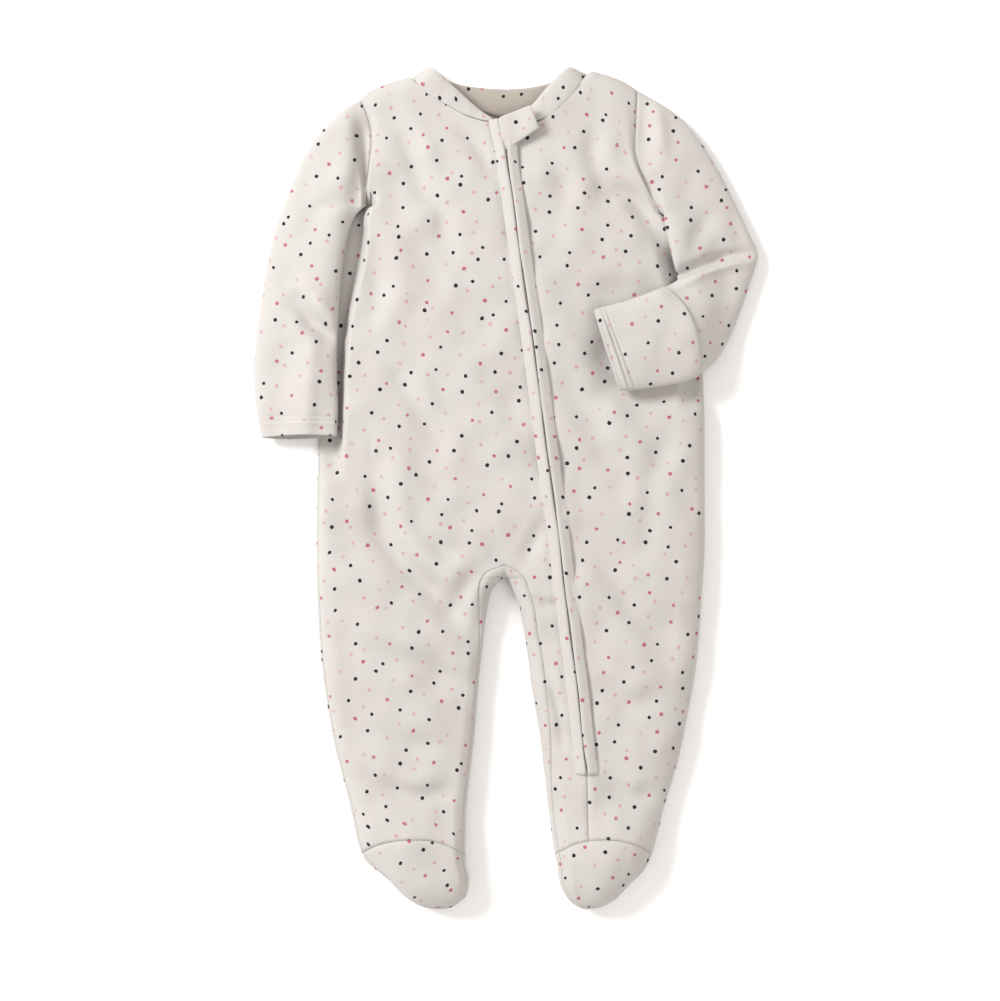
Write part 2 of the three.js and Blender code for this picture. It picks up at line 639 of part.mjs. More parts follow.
// A sleeve ring at any position along it, as points over the top and back under it
function sleeveRing(table, ring, options) {
  const [outerX, outerY, innerX, innerY] = table(ring);
  const { bow, loftAt, liftAt } = options;
  const [dx, dy] = [innerX - outerX, innerY - outerY];
  const length = Math.hypot(dx, dy);
  const bulge = bow(ring);
  const tops = [];
  const bottoms = [];
  for (let step = 0; step <= armholeSteps; step += 1) {
    const angle = Math.PI * step / armholeSteps;
    const share = (1 - Math.cos(angle)) / 2;
    const side = Math.sin(angle) ** 0.8;
    const out = bulge * 4 * share * (1 - share);
    const x = outerX + dx * share - dy / length * out;
    const y = outerY + dy * share + dx / length * out;
    const offBody = x < 0 ? 1 - ease(-9, 1, x - rightEdge(y)[0]) : 0;
    const base = bedHeight(x, y, liftAt(ring)) + liftAt(ring) * offBody;
    const high = base + loftAt(ring, share);
    const seam = mix(base, high, seamShare);
    tops.push([x, y, mix(seam, high, side)]);
    bottoms.push([x, y, mix(seam, base, side)]);
  }
  return [...tops, ...bottoms.reverse()];
}

const armholeRing = (outer) => [
  ...Array.from({ length: armholeSteps + 1 }, (_, i) => frontPoint(outer(bodyRows[i].row))),
  ...Array.from({ length: armholeSteps + 1 }, (_, i) => backPoint(outer(bodyRows[armholeSteps - i].row))),
];

const rightSleeve = {
  table: through(rightSleeveTable),
  cuff: rightCuffRing,
  options: {
    bow: (ring) => 5 * (1 - ease(0, 5, ring)),
    loftAt: (ring, share) => sleeveLoft + 1.5 * Math.sin(Math.PI * share) * (1 - ease(9, 14, ring)),
    liftAt: (ring) => (cloth + flapGap) * ease(8.4, 9.6, ring),
  },
};
const leftSleeve = {
  table: through(leftSleeveTable),
  cuff: leftCuffRing,
  options: {
    bow: (ring) => -3 * (1 - ease(0, 4, ring)),
    loftAt: (ring, share) => {
      const nearElbow = Math.exp(-((ring - leftElbowRing + 0.6) ** 2) / 0.9);
      return sleeveLoft - elbowDip * nearElbow * ease(0.15, 0.9, share);
    },
    liftAt: () => 0,
  },
};

function addSleeve(sleeve, name, outer, turned) {
  const rings = [armholeRing(outer)];
  for (let ring = 1; ring <= sleeve.cuff; ring += 1) {
    rings.push(sleeveRing(sleeve.table, ring, sleeve.options));
  }
  skin.grid(rings, () => name, turned);
  return rings;
}
const rightRings = addSleeve(rightSleeve, 'sleeve_right', (row) => row[0], false);
const leftRings = addSleeve(leftSleeve, 'sleeve_left', (row) => row.at(-1), true);
skin.measureNormals();

// Mitten flaps: a second layer that lies on a sleeve near its cuff
function flapSkin(rings, turned) {
  const flap = new Skin();
  flap.grid(rings, () => 'flap', turned);
  flap.measureNormals();
  return flap;
}
const flapRows = (sleeve, columns, startAt, firstRing) => {
  const rowAt = (ringAt) => columns.map((column, k) => {
    const ring = ringAt(startAt(k / (columns.length - 1)));
    return sleeveRing(sleeve.table, ring, sleeve.options)[column];
  });
  const rows = [rowAt((start) => start), rowAt((start) => mix(start, firstRing, 0.5))];
  for (let ring = firstRing; ring <= sleeve.cuff; ring += 1) rows.push(rowAt(() => ring));
  return rows;
};
const overTop = Array.from({ length: armholeSteps + 1 }, (_, i) => i);
const underneath = overTop.map((i) => i + armholeSteps + 1);
const leftFlapStart = (share) => mix(leftFlapRings[0], leftFlapRings[1], share);
const flapLeft = flapSkin(flapRows(leftSleeve, overTop, leftFlapStart, 15), true);
const flapRight = flapSkin(flapRows(rightSleeve, underneath, () => rightFlapRing, 11), false);

// A closed bar from cross-sections that all have the same number of corners
function barGeometry(sections) {
  const count = sections[0].length;
  const index = [];
  for (let i = 0; i < sections.length - 1; i += 1) {
    for (let k = 0; k < count; k += 1) {
      const a = i * count + k;
      const b = i * count + (k + 1) % count;
      index.push(a, b, b + count, a, b + count, a + count);
    }
  }
  const end = (sections.length - 1) * count;
  const profile = sections[0].map(([, , , u, v]) => new THREE.Vector2(u, v));
  const capTriangles = THREE.ShapeUtils.triangulateShape(profile, []);
  for (const [a, b, c] of capTriangles) {
    index.push(c, b, a);
    index.push(a + end, b + end, c + end);
  }
  const geometry = new THREE.BufferGeometry();
  geometry.setAttribute('position', new THREE.Float32BufferAttribute(sections.flatMap((section) => section
    .flatMap(([x, y, z]) => [x, y, z])), 3));
  geometry.setIndex(index);
  return geometry;
}

// Cross-sections along the zip; corners give the distance from the zip line and the height over the panel
function zipSections(corners, startY, endY, steps) {
  const sections = [];
  for (let i = 0; i <= steps; i += 1) {
    const y = mix(startY, endY, i / steps);
    sections.push(corners(y).map(([across, over]) => {
      const x = zipLine(y)[0] + across;
      return [x, y, frontHeight(x, y) + over, across, over];
    }));
  }
  return sections;
}

const tapeUnder = -cloth - layerGap - tapeThick;
const tapeOver = -cloth - layerGap;
const zipCorners = () => [
  [-tapeHalf, tapeUnder], [tapeHalf, tapeUnder], [tapeHalf, tapeOver], [coilHalf, tapeOver],
  [coilHalf, -0.1], [-coilHalf, -0.1], [-coilHalf, tapeOver], [-tapeHalf, tapeOver],
];
const lipNear = (y) => mix(lipPart, 4.2, ease(226, 232, y));
const lipCorners = (side) => (y) => {
  const near = side * lipNear(y);
  const far = side * lipWidth;
  const [low, high] = side < 0 ? [far, near] : [near, far];
  return [[low, lipSeat], [high, lipSeat], [high, lipSeat + lipCloth], [low, lipSeat + lipCloth]];
};

function sliderGeometry() {
  const half = sliderWidth / 2;
  const corners = (y) => {
    const taper = mix(0.62, 1, ease(sliderTop - sliderLength, sliderTop - sliderLength * 0.45, y));
    const wide = half * taper;
    const crest = 0.45 * wide;
    const shoulder = 0.6 * sliderHeight;
    return [
      [-wide, layerGap], [wide, layerGap], [wide, shoulder],
      [crest, sliderHeight], [-crest, sliderHeight], [-wide, shoulder],
    ];
  };
  return barGeometry(zipSections(corners, sliderTop, sliderTop - sliderLength, 4));
}

// The guard is a small rounded tab over the slider
function guardGeometry() {
  const [topLeft, topRight, bottomRight, bottomLeft] = guardCorners;
  const shape = new THREE.Shape();
  const corners = [topLeft, topRight, bottomRight, bottomLeft];
  const round = 0.16;
  corners.forEach((corner, k) => {
    const before = corners[(k + 3) % 4];
    const after = corners[(k + 1) % 4];
    const from = [mix(corner[0], before[0], round), mix(corner[1], before[1], round)];
    const to = [mix(corner[0], after[0], round), mix(corner[1], after[1], round)];
    if (k === 0) shape.moveTo(...from);
    else shape.lineTo(...from);
    shape.quadraticCurveTo(corner[0], corner[1], to[0], to[1]);
  });
  shape.closePath();
  const options = { depth: guardCloth, bevelEnabled: false, curveSegments: 4, steps: 1 };
  const geometry = new THREE.ExtrudeGeometry(shape, options);
  const base = frontHeight(4, 240) + Math.max(sliderHeight, lipSeat + lipCloth) + guardGap;
  geometry.translate(0, 0, base);
  return geometry;
}

// Neckband: a strip whose outer edge follows the neckline seam and whose inner edge is free
function bandStations() {
  const stations = [];
  const station = ([ox, oy, ix, iy, lift], onFront) => {
    const seat = onFront ? frontHeight(ox, oy) - cloth : bandCloth + 0.1;
    const reach = bandGap / Math.hypot(ix - ox, iy - oy);
    return { outer: [mix(ox, ix, reach), mix(oy, iy, reach), seat], inner: [ix, iy, seat + lift] };
  };
  for (const row of bandFrontRight) stations.push(station(row, true));
  for (const row of bandBack) stations.push(station(row, false));
  for (const row of bandFrontLeft) stations.push(station(row, true));
  return stations;
}

function bandSolid() {
  const closed = bandStations().map(({ outer, inner }) => (
    { a: new THREE.Vector3(...outer), b: new THREE.Vector3(...inner) }
  ));
  const sections = closed.map(({ a, b }, i) => {
    const before = closed[Math.max(i - 1, 0)];
    const after = closed[Math.min(i + 1, closed.length - 1)];
    const along = after.a.clone().sub(before.a).add(after.b.clone().sub(before.b));
    const across = b.clone().sub(a);
    const normal = across.clone().cross(along).normalize();
    const lifted = normal.multiplyScalar(bandCloth);
    const points = [b, a, a.clone().add(lifted), b.clone().add(lifted)];
    const flat = [[0, 0], [1, 0], [1, 1], [0, 1]];
    return points.map((p, k) => [p.x, p.y, p.z, ...flat[k]]);
  });
  return barGeometry(sections);
}

const fabric = (colour) => new THREE.MeshStandardMaterial({ color: colour, roughness: 0.92, metalness: 0 });
const materials = {
  cloth: fabric(colours.cloth),
  band: fabric(colours.band),
  zip: new THREE.MeshStandardMaterial({ color: colours.zip, roughness: 0.55, metalness: 0 }),
  slider: new THREE.MeshStandardMaterial({ color: colours.slider, roughness: 0.4, metalness: 0.1 }),
};

const sleepsuit = new THREE.Group();
function addPiece(name, geometry, material) {
  const mesh = new THREE.Mesh(geometry, material);
  mesh.name = name;
  sleepsuit.add(mesh);
}

const panels = [
  'back', 'front_right', 'front_left', 'sleeve_right', 'sleeve_left',
  'foot_upper_right', 'foot_upper_left', 'sole_right', 'sole_left',
];
for (const name of panels) {
  const faces = skin.faces.filter((face) => face.name === name);
  const drawIn = name.startsWith('sleeve') ? armholeGap : seamGap / 2;
  addPiece(name, wallGeometry(skin, faces, cloth, 0, drawIn), materials.cloth);
}
addPiece('mitten_left', wallGeometry(flapLeft, flapLeft.faces, cloth, cloth + flapGap), materials.cloth);
addPiece('mitten_right', wallGeometry(flapRight, flapRight.faces, cloth, cloth + flapGap), materials.cloth);
addPiece('neckband', bandSolid(), materials.band);
const lipGeometry = (side) => barGeometry(zipSections(lipCorners(side), lipTopY, zipEndY - 2, zipSteps));
addPiece('zip', barGeometry(zipSections(zipCorners, zipTopY, zipEndY + 1, zipSteps)), materials.zip);
addPiece('zip_slider', sliderGeometry(), materials.slider);
addPiece('zip_guard', guardGeometry(), materials.cloth);
addPiece('zip_placket_right', lipGeometry(-1), materials.band);
addPiece('zip_placket_left', lipGeometry(1), materials.band);

export default sleepsuit;
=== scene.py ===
import math

import bpy
import numpy as np
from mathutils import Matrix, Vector, kdtree


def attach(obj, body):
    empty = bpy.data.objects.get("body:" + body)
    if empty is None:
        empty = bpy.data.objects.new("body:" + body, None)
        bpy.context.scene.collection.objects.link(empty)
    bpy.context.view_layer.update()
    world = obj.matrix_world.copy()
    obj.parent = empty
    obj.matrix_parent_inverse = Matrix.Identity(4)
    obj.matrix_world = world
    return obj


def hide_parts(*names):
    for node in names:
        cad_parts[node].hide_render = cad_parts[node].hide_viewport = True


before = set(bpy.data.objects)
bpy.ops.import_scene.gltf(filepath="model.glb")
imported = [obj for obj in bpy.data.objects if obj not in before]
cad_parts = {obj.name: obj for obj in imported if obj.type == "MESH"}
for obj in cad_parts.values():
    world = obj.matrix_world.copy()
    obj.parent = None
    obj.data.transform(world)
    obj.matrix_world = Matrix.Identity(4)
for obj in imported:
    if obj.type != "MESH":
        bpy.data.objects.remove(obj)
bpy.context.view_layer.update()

# Footed baby sleepsuit laid flat on its back. Sizes are in millimetres until a mesh is made.
# "right" and "left" are the wearer's: the garment's right side lies at negative X.
MM = 0.001

# Driving dimensions
CLOTH = 1.3
CELL = 2.3
BRIM_HEIGHT = 4.6
BRIM_ROLL = 2.6
RAMP_RIGHT = 7
FOOT_LEFT = 7
RAMP_LEFT = 13
SLEEVE_LOFT = 13.5
ZIP_SLOT = 3
TAPE_HALF = 7
LIP_WIDTH = 7.6
FLAP_GAP = 0.7
ARM_GAP = 1.6
BACK_NECK_RISE = 6
ARMHOLE_STEPS = 8
STEP_PARTS = 6
SHOULDER_ROLL = 10
CROTCH_Y = -60
BRIDGE_Y = -52
TOE_SEAM_Y = -234
HEEL_Y = -216
TOE_END_Y = -282.4
TOE_CURVE_Y = -260
ZIP_TOP_Y = 243.5
ZIP_END_Y = -188
SEAM_START_Y = -202
SOLE_RIM_Y = -279.6
VALLEY_Y = -50.5
SEAM_ROOM = 1.25
ARMHOLE_DIP = 0.8
ARMHOLE_DIP_LEFT = 0.35
SEAM_SHARE = 0.48
EDGE_DRAW = 0.02
EDGE_SINK = 0.3
CAMERA_LENS = 85
CAMERA_SENSOR = 36
CAMERA_PLACE = (-4.4, -8.4, 1594)

# Outlines seen from above. Columns: y, x
RIGHT_EDGE = [
    (189.6, -94), (186.5, -100), (180, -106.5), (170, -111), (152, -115), (126, -118.6), (99, -121.4),
    (72, -123.8), (32, -126.3), (-48, -127.6), (-108.5, -125), (-162, -117.6), (-202, -107.8), (-229, -99.5),
    (-242.5, -92.8), (-256, -84), (-269.3, -72.7), (-276, -65.3), (-279.5, -59), (-281.4, -54), (-282.4, -48),
]
RIGHT_INNER = [
    (-60, -0.6), (-64, -6), (-68.3, -9.7), (-81.7, -13.1), (-108.5, -16.4), (-135, -19.1), (-162, -21.1),
    (-189, -24.1), (-215.7, -27.1), (-242.5, -27.1), (-262.6, -25.1), (-272.7, -26.8), (-278, -32),
    (-280.8, -36.5), (-282.4, -41),
]
LEFT_INNER = [
    (-60, -0.6), (-64, 2.2), (-68.3, 4.2), (-81.7, 9), (-108.5, 13.7), (-135, 17.1), (-162, 21.8),
    (-189, 25.1), (-215.7, 28.5), (-242.5, 33.8), (-262.6, 35.2), (-272.7, 39.2), (-278, 43.5),
    (-280.8, 48), (-282.4, 51.5),
]
LEFT_EDGE = [
    (184, 103), (180, 107.5), (174, 111.5), (165, 115.5), (153, 119.2), (140, 122.8), (126, 126.2),
    (112.6, 128.6), (77, 132.3), (-8, 133), (-41.5, 133), (-95, 129.6), (-122, 127), (-148.7, 122.3),
    (-175.5, 116.9), (-202, 109.5), (-229, 99.5), (-242.5, 94.8), (-256, 90), (-269, 79.4), (-276, 72.7),
    (-279.8, 66), (-281.5, 61), (-282.4, 57),
]
ZIP_LINE = [
    (243.5, -0.8), (223, -0.1), (187.7, 4.8), (146.7, 10.4), (107.3, 16.1), (55, 23.1), (5.4, 29.5),
    (-26.7, 34), (-65, 38.5), (-106, 43.6), (-142, 48.1), (-178, 51.9), (-187, 53.3), (-233, 54.5),
    (-260, 55.5), (-282.4, 54.3),
]
MIDDLE = [(187.7, -40), (60, -28), (-20, -10), (-45, -2), (-60, -0.6)]

# Heights of the front above the surface at the fullest part of each level. Columns: y, height
LOFT = [
    (282, 11), (262, 13), (246, 14), (220, 17), (187, 19.5), (120, 21), (40, 22), (-40, 22), (-100, 21),
    (-170, 20), (-215, 21), (-240, 25), (-262, 25.5), (-283, 23),
]

# How far each rolled edge reaches in from the outline. Columns: y, right edge, inner legs, left edge
ROLL = [
    (190, 8, 12, 9), (100, 7, 12, 10), (40, 8, 12, 14), (0, 10, 12, 15), (-60, 11, 14, 15),
    (-80, 12, 12, 15), (-200, 12, 12, 14), (-245, 13, 11, 13), (-283, 6, 6, 6),
]

# How far the seams lie inside the inner legs' edges. Columns: y, right leg, left leg
INNER_SEAMS = [
    (-52, 0.8, 0.8), (-52.9, 4, 3), (-54.3, 9, 6.5), (-57.4, 14, 10.5), (-60, 15.5, 12.5),
    (-63, 13, 11.8), (-67, 9.5, 10.8), (-76, 6.4, 10.4), (-95, 2.6, 9), (-110, 1.6, 9.6), (-136, 1.8, 9.6),
    (-168, 1.8, 7), (-200, 1.8, 3.5), (-234, 1.8, 2.4), (-283, 1.8, 2.4),
]

# Width of the margin that the straight arm presses flat. Columns: y, width
RIGHT_FOOT = [
    (192, 2), (187, 3), (180, 8), (170, 13), (150, 14.3), (130, 12.2), (110, 10.6), (90, 10.6), (46, 12),
]

# Neckline, shoulders and armholes of the body, in plan. Columns: x, y
RIGHT_SHOULDER = [(-98.2, 260.6), (-91.5, 266.7), (-82.7, 270.7), (-72, 274.2), (-65, 275.6)]
RIGHT_NECKLINE = [(-65, 275.6), (-49.7, 262), (-38.5, 256), (-29.5, 250.6), (-18, 246.4), (-3.8, 244)]
LEFT_NECKLINE = [(2.2, 243), (13, 242), (24, 246), (36, 255), (46, 266), (55.3, 278.4)]
LEFT_SHOULDER = [(55.3, 278.4), (66, 278), (75, 274.4), (83.4, 270.4), (88.1, 266.7)]
RIGHT_ARMHOLE = [
    (-98.2, 260.6), (-94.5, 252), (-92, 242.5), (-91.3, 230.5), (-92.3, 219.8), (-93.5, 205), (-94, 189.6),
]
LEFT_ARMHOLE = [(88.1, 266.7), (87.4, 253), (86.8, 240), (86.1, 226.5), (88.1, 216), (93.5, 202), (103, 184)]
NECK_SHARE_RIGHT = 0.36
NECK_SHARE_LEFT = 0.62
ARMPIT_ZIP_Y = 187.7
ARMPIT_DROP = 74

# Sleeves as rings from the armhole to the cuff. Columns: ring, outer x, outer y, inner x, inner y
RIGHT_SLEEVE = [
    (0, -98.2, 260.6, -94, 189.6), (1, -108, 254.6, -96.4, 187.4), (2, -117.6, 246.6, -99.6, 184.2),
    (3, -127, 236.5, -102.5, 180), (4, -135.5, 223, -105, 174), (5, -143, 206.5, -107, 166.5),
    (6, -150, 189, -109, 156.5), (7, -156, 172, -110.7, 144), (8, -161, 148, -112, 127.5),
    (9, -165, 124, -112.9, 110), (10, -168, 100, -113.6, 92), (11, -169.2, 78, -113.9, 74),
    (12, -168, 58, -113.2, 56), (13, -165.8, 44, -113.4, 44), (14, -163.8, 33.5, -113.6, 34.6),
]
LEFT_SLEEVE = [
    (0, 88.1, 266.7, 103, 184), (1, 99, 260.5, 105.6, 182.4), (2, 110, 253.5, 105.6, 177),
    (3, 122, 243, 106.8, 171), (4, 134, 227, 108.4, 164), (5, 145.6, 207, 110.2, 156.5),
    (6, 155.8, 186, 112, 149.5), (7, 163.4, 170, 114, 143.5), (8, 168.6, 158.4, 114.6, 140),
    (9, 167.6, 149.5, 113.6, 138.6), (10, 163.6, 137.5, 111, 137), (11, 157.3, 119, 107, 135),
    (12, 150.5, 102, 102, 132.6), (13, 142, 87.5, 96.4, 130), (14, 131.5, 77.5, 90.5, 127.8),
    (15, 119.5, 71.3, 84, 125.4), (16, 107.5, 68.7, 77.6, 123.4), (17, 96, 66.9, 71, 121.6),
    (18, 85, 65.3, 64.4, 119.8), (19, 74.8, 64.7, 58.2, 117.9),
]
RIGHT_CUFF_RING = 14
LEFT_CUFF_RING = 19
LEFT_ELBOW_RING = 8
RIGHT_FLAP_RING = 10.2
LEFT_FLAP_RINGS = (14.3, 11.4)

# Neckband. Columns: outer x, outer y, inner x, inner y, lift of the inner edge over the seam
BAND_FRONT_RIGHT = [
    (-9.5, 244.8, -10.6, 247.2, -2.5), (-18, 246.4, -16.4, 251.6, -3), (-29.5, 250.8, -24.5, 258.8, -2.5),
    (-38.5, 256.2, -33.2, 267, -1.5), (-49.7, 262.2, -41.6, 274.8, 0), (-58.5, 269.5, -47.6, 280.4, 0),
]
BAND_BACK = [
    (-61.6, 274.6, -49.3, 281, 0), (-49.5, 265.4, -41, 275.5, 0), (-36, 261, -32.4, 272, 0),
    (-24, 255.3, -20, 270, 0), (-10, 251.3, -9, 269, 0), (6, 249.8, 6, 268.9, 0), (24, 253.8, 22.4, 271, 0),
    (40.3, 264, 34, 275, 0), (52.3, 276.6, 41.4, 281, 0),
]
BAND_FRONT_LEFT = [
    (48.7, 270.6, 39.4, 280.8, 0), (40.6, 260.6, 31.6, 273, -0.5), (31, 251, 24.6, 265.6, -1.5),
    (20, 245.9, 16.8, 256.4, -2.5), (3.4, 243.4, 4.5, 250.6, -4),
]
BAND_CLOTH = 2.2
BAND_GAP = -0.6

# Creases placed one by one. Columns: path in plan, depth, half width, share of the depth that rises beside it
FRONT_CREASES = [
    ([(-81, 257), (-66, 226), (-55, 193)], 1.5, 8, 0.5),
    ([(-55, 200), (-45, 183), (-38, 163)], 1.2, 8, 0.4),
    ([(-45, 253), (-26, 236), (-11, 213)], 1.1, 7, 0.5),
    ([(-92, 172), (-86, 140), (-90, 104)], 0.9, 9, 0.4),
    ([(-71, 72), (-60, 52), (-45, 32)], 1.2, 8, 0.4),
    ([(-88, 12), (-86, -12), (-81, -35), (-68, -52), (-51, -68), (-25, -95)], 2.9, 10, 0.45),
    ([(-62, -28), (-42, -42), (-24, -46)], 1.0, 8, 0.4),
    ([(-105, -102), (-71, -115), (-25, -135)], 1.7, 10, 0.4),
    ([(-98, -160), (-70, -172), (-38, -170)], 1.0, 9, 0.4),
    ([(-92, -196), (-62, -206), (-36, -203)], 1.2, 7, 0.5),
    ([(-36, -88), (-29, -70), (-19, -54)], 1.5, 8, 0.4),
    ([(22, -75), (28, -78), (34, -79)], 1.0, 4, 0.4),
    ([(10, -50), (20, -34), (27, -16)], 0.9, 6, 0.4),
    ([(60.6, 260), (58, 240), (57, 220), (61, 207), (67, 198)], 1.4, 8, 0.5),
    ([(67, 198), (84, 194), (100, 171)], 2.2, 8, 0.4),
    ([(30, 226), (38, 200), (34, 172)], 0.7, 8, 0.3),
    ([(36, 79), (63, 32), (76, 12)], 1.3, 11, 0.4),
    ([(112, 40), (96, 4), (94, -34)], 1.0, 10, 0.4),
    ([(70, -60), (88, -88), (112, -104)], 1.2, 9, 0.4),
    ([(58, -128), (80, -144), (104, -142)], 1.0, 9, 0.4),
    ([(68, -196), (84, -206), (98, -203)], 1.0, 7, 0.5),
    ([(26, -120), (34, -146), (38, -172)], 0.8, 4, 0.3),
]
BACK_CREASES = [
    ([(-84, 236), (-50, 210), (-8, 204)], 0.9, 10, 0.5),
    ([(80, 232), (48, 206), (16, 200)], 0.9, 10, 0.5),
    ([(-96, 120), (-52, 96), (-4, 104)], 0.8, 12, 0.5),
    ([(104, 96), (60, 72), (22, 80)], 0.8, 12, 0.5),
    ([(-92, 8), (-60, -30), (-18, -52)], 1.1, 10, 0.5),
    ([(104, 0), (66, -32), (22, -54)], 1.1, 10, 0.5),
    ([(-104, -70), (-70, -92), (-32, -96)], 0.9, 10, 0.5),
    ([(108, -74), (76, -98), (38, -100)], 0.9, 10, 0.5),
    ([(-92, -152), (-66, -166), (-36, -158)], 0.8, 9, 0.5),
    ([(98, -156), (74, -168), (46, -160)], 0.8, 9, 0.5),
]
SLEEVE_CREASES = [
    ([(-139, 123), (-130, 111), (-121, 103), (-108, 98)], 8.5, 7.5, 0.45),
    ([(-96, 256), (-95, 236), (-95.5, 216), (-98, 200), (-101, 176)], 8.0, 9, 0.35),
    ([(-128, 222), (-134, 196), (-126, 164)], 1.0, 9, 0.4),
    ([(-152, 150), (-142, 132), (-144, 110)], 0.9, 8, 0.4),
    ([(-160, 84), (-144, 76), (-122, 80)], 0.8, 7, 0.4),
    ([(90, 258), (92, 240), (94, 222)], 3.4, 7, 0.9),
    ([(140, 188), (127, 170), (120, 146)], 1.9, 7, 0.5),
    ([(150, 190), (155, 171), (158, 155)], 1.4, 6, 0.5),
    ([(170, 158), (148, 155.5), (131, 150), (117, 143), (104, 137)], 4.6, 4.2, 0.55),
    ([(150, 134), (142, 116), (136, 98)], 0.9, 7, 0.4),
    ([(112, 112), (104, 98), (100, 82)], 0.5, 6, 0.3),
]


def clamp(value, low=0.0, high=1.0):
    return np.minimum(high, np.maximum(low, value))


def mix(a, b, t):
    return a + (b - a) * t


def ease(low, high, value):
    t = clamp((value - low) / (high - low))
    return t * t * (3 - 2 * t)


def through(table):
    """A smooth function through the rows of a table, keyed by the first column."""
    rows = np.array(sorted(table), dtype=float)
    keys, values = rows[:, 0], rows[:, 1:]
    last = len(keys) - 1
    before = np.maximum(np.arange(last + 1) - 1, 0)
    after = np.minimum(np.arange(last + 1) + 1, last)
    slopes = (values[after] - values[before]) / (keys[after] - keys[before])[:, None]

    def value(key, column=0):
        k = clamp(np.asarray(key, dtype=float), keys[0], keys[-1])
        i = np.clip(np.searchsorted(keys, k, side="right") - 1, 0, last - 1)
        width = keys[i + 1] - keys[i]
        t = (k - keys[i]) / width
        p, q = values[i, column], values[i + 1, column]
        m, n = slopes[i, column] * width, slopes[i + 1, column] * width
        bend = t * t * (3 - 2 * t)
        return mix(p, q, bend) + m * t * (1 - t) ** 2 - n * t * t * (1 - t)

    return value


def plan_curve(points, parts=40):
    """A smooth plan curve through points, as a function of the share of its length."""
    p = np.array(points, dtype=float)
    p = np.vstack([2 * p[0] - p[1], p, 2 * p[-1] - p[-2]])
    dense = []
    for i in range(1, len(p) - 2):
        d = [max(math.sqrt(np.linalg.norm(p[i + k] - p[i + k - 1])), 1e-6) for k in range(3)]
        before, here, after = (p[i + k] - p[i + k - 1] for k in range(3))
        m = (before / d[0] - (before + here) / (d[0] + d[1]) + here / d[1]) * d[1]
        n = (here / d[1] - (here + after) / (d[1] + d[2]) + after / d[2]) * d[1]
        t = np.linspace(0, 1, parts, endpoint=False)[:, None]
        bend = t * t * (3 - 2 * t)
        dense.append(mix(p[i], p[i + 1], bend) + m * t * (1 - t) ** 2 - n * t * t * (1 - t))
    dense = np.vstack([*dense, p[-2]])
    lengths = np.concatenate([[0], np.cumsum(np.linalg.norm(np.diff(dense, axis=0), axis=1))])

    def point(share):
        at = clamp(share) * lengths[-1]
        return np.array([np.interp(at, lengths, dense[:, 0]), np.interp(at, lengths, dense[:, 1])])

    return point


def joined(first, second, at):
    def point(share):
        if share < at:
            return first(share / at)
        return second((share - at) / (1 - at))
    return point


right_edge = through(RIGHT_EDGE)
right_inner = through(RIGHT_INNER)
left_inner = through(LEFT_INNER)
left_edge = through(LEFT_EDGE)
zip_line = through(ZIP_LINE)
middle = through(MIDDLE)
loft = through(LOFT)
roll = through(ROLL)
inner_seams = through(INNER_SEAMS)
foot_right = through(RIGHT_FOOT)


def slot_half(y):
    """Half width of the slot between the front panels, which closes below the zip."""
    return ZIP_SLOT * (1 - ease(ZIP_END_Y + 9, ZIP_END_Y, y))


def press_right(y):
    return ease(4, 30, y) * (1 - ease(186, 202, y))


def press_left(y):
    return ease(46, 72, y) * (1 - ease(148, 180, y))


def pressed(x, y):
    """How far the body's margin is pressed down by the arm on it: 1 at the margin, 0 in the open."""
    from_right = x - right_edge(y) - foot_right(y)
    from_left = left_edge(y) - x - FOOT_LEFT
    return np.maximum(
        (1 - ease(0, RAMP_RIGHT, from_right)) * press_right(y),
        (1 - ease(0, RAMP_LEFT, from_left)) * press_left(y),
    )


def relief(x, y, creases):
    """Troughs, each with a soft ridge on its left, fading out at both ends."""
    x, y = np.asarray(x, dtype=float), np.asarray(y, dtype=float)
    total = np.zeros(x.shape)
    for path, depth, half, rise in creases:
        line = smooth_path(path)
        away = np.full(x.shape, 1e9)
        side = np.zeros(x.shape)
        strength = np.zeros(x.shape)
        steps = len(line) - 1
        for i in range(steps):
            (x0, y0), (x1, y1) = line[i], line[i + 1]
            dx, dy = x1 - x0, y1 - y0
            along = clamp(((x - x0) * dx + (y - y0) * dy) / (dx * dx + dy * dy))
            off_x, off_y = x - x0 - dx * along, y - y0 - dy * along
            distance = np.hypot(off_x, off_y)
            nearer = distance < away
            share = (i + along) / steps
            away = np.where(nearer, distance, away)
            side = np.where(nearer, np.sign(dx * off_y - dy * off_x), side)
            strength = np.where(nearer, np.sin(np.pi * (0.06 + 0.88 * share)) ** 0.7, strength)
        signed = away * side / half
        valley = np.exp(-signed ** 2 * 1.4)
        ridge = np.exp(-(signed - 1.55) ** 2 * 1.6)
        total += strength * depth * (rise * ridge - valley)
    return total


def smooth_path(path, parts=10):
    curve = plan_curve(path)
    return [curve(i / parts) for i in range(parts + 1)]


def softness(x, y, seed, waves=((64, 0.42), (37, 0.3), (21, 0.14))):
    """Gentle uneven swell of cloth that lies loose."""
    rng = np.random.default_rng(seed)
    total = np.zeros(np.shape(x))
    for length, height in waves:
        for turn in rng.uniform(0, math.tau, 4):
            phase = rng.uniform(0, math.tau)
            stretch = length * rng.uniform(0.8, 1.25)
            total = total + height * 0.5 * np.sin(
                math.tau * (x * math.cos(turn) + y * math.sin(turn)) / stretch + phase
                + 0.8 * np.sin(math.tau * (y * math.cos(turn) - x * math.sin(turn)) / (stretch * 1.7))
            )
    return total


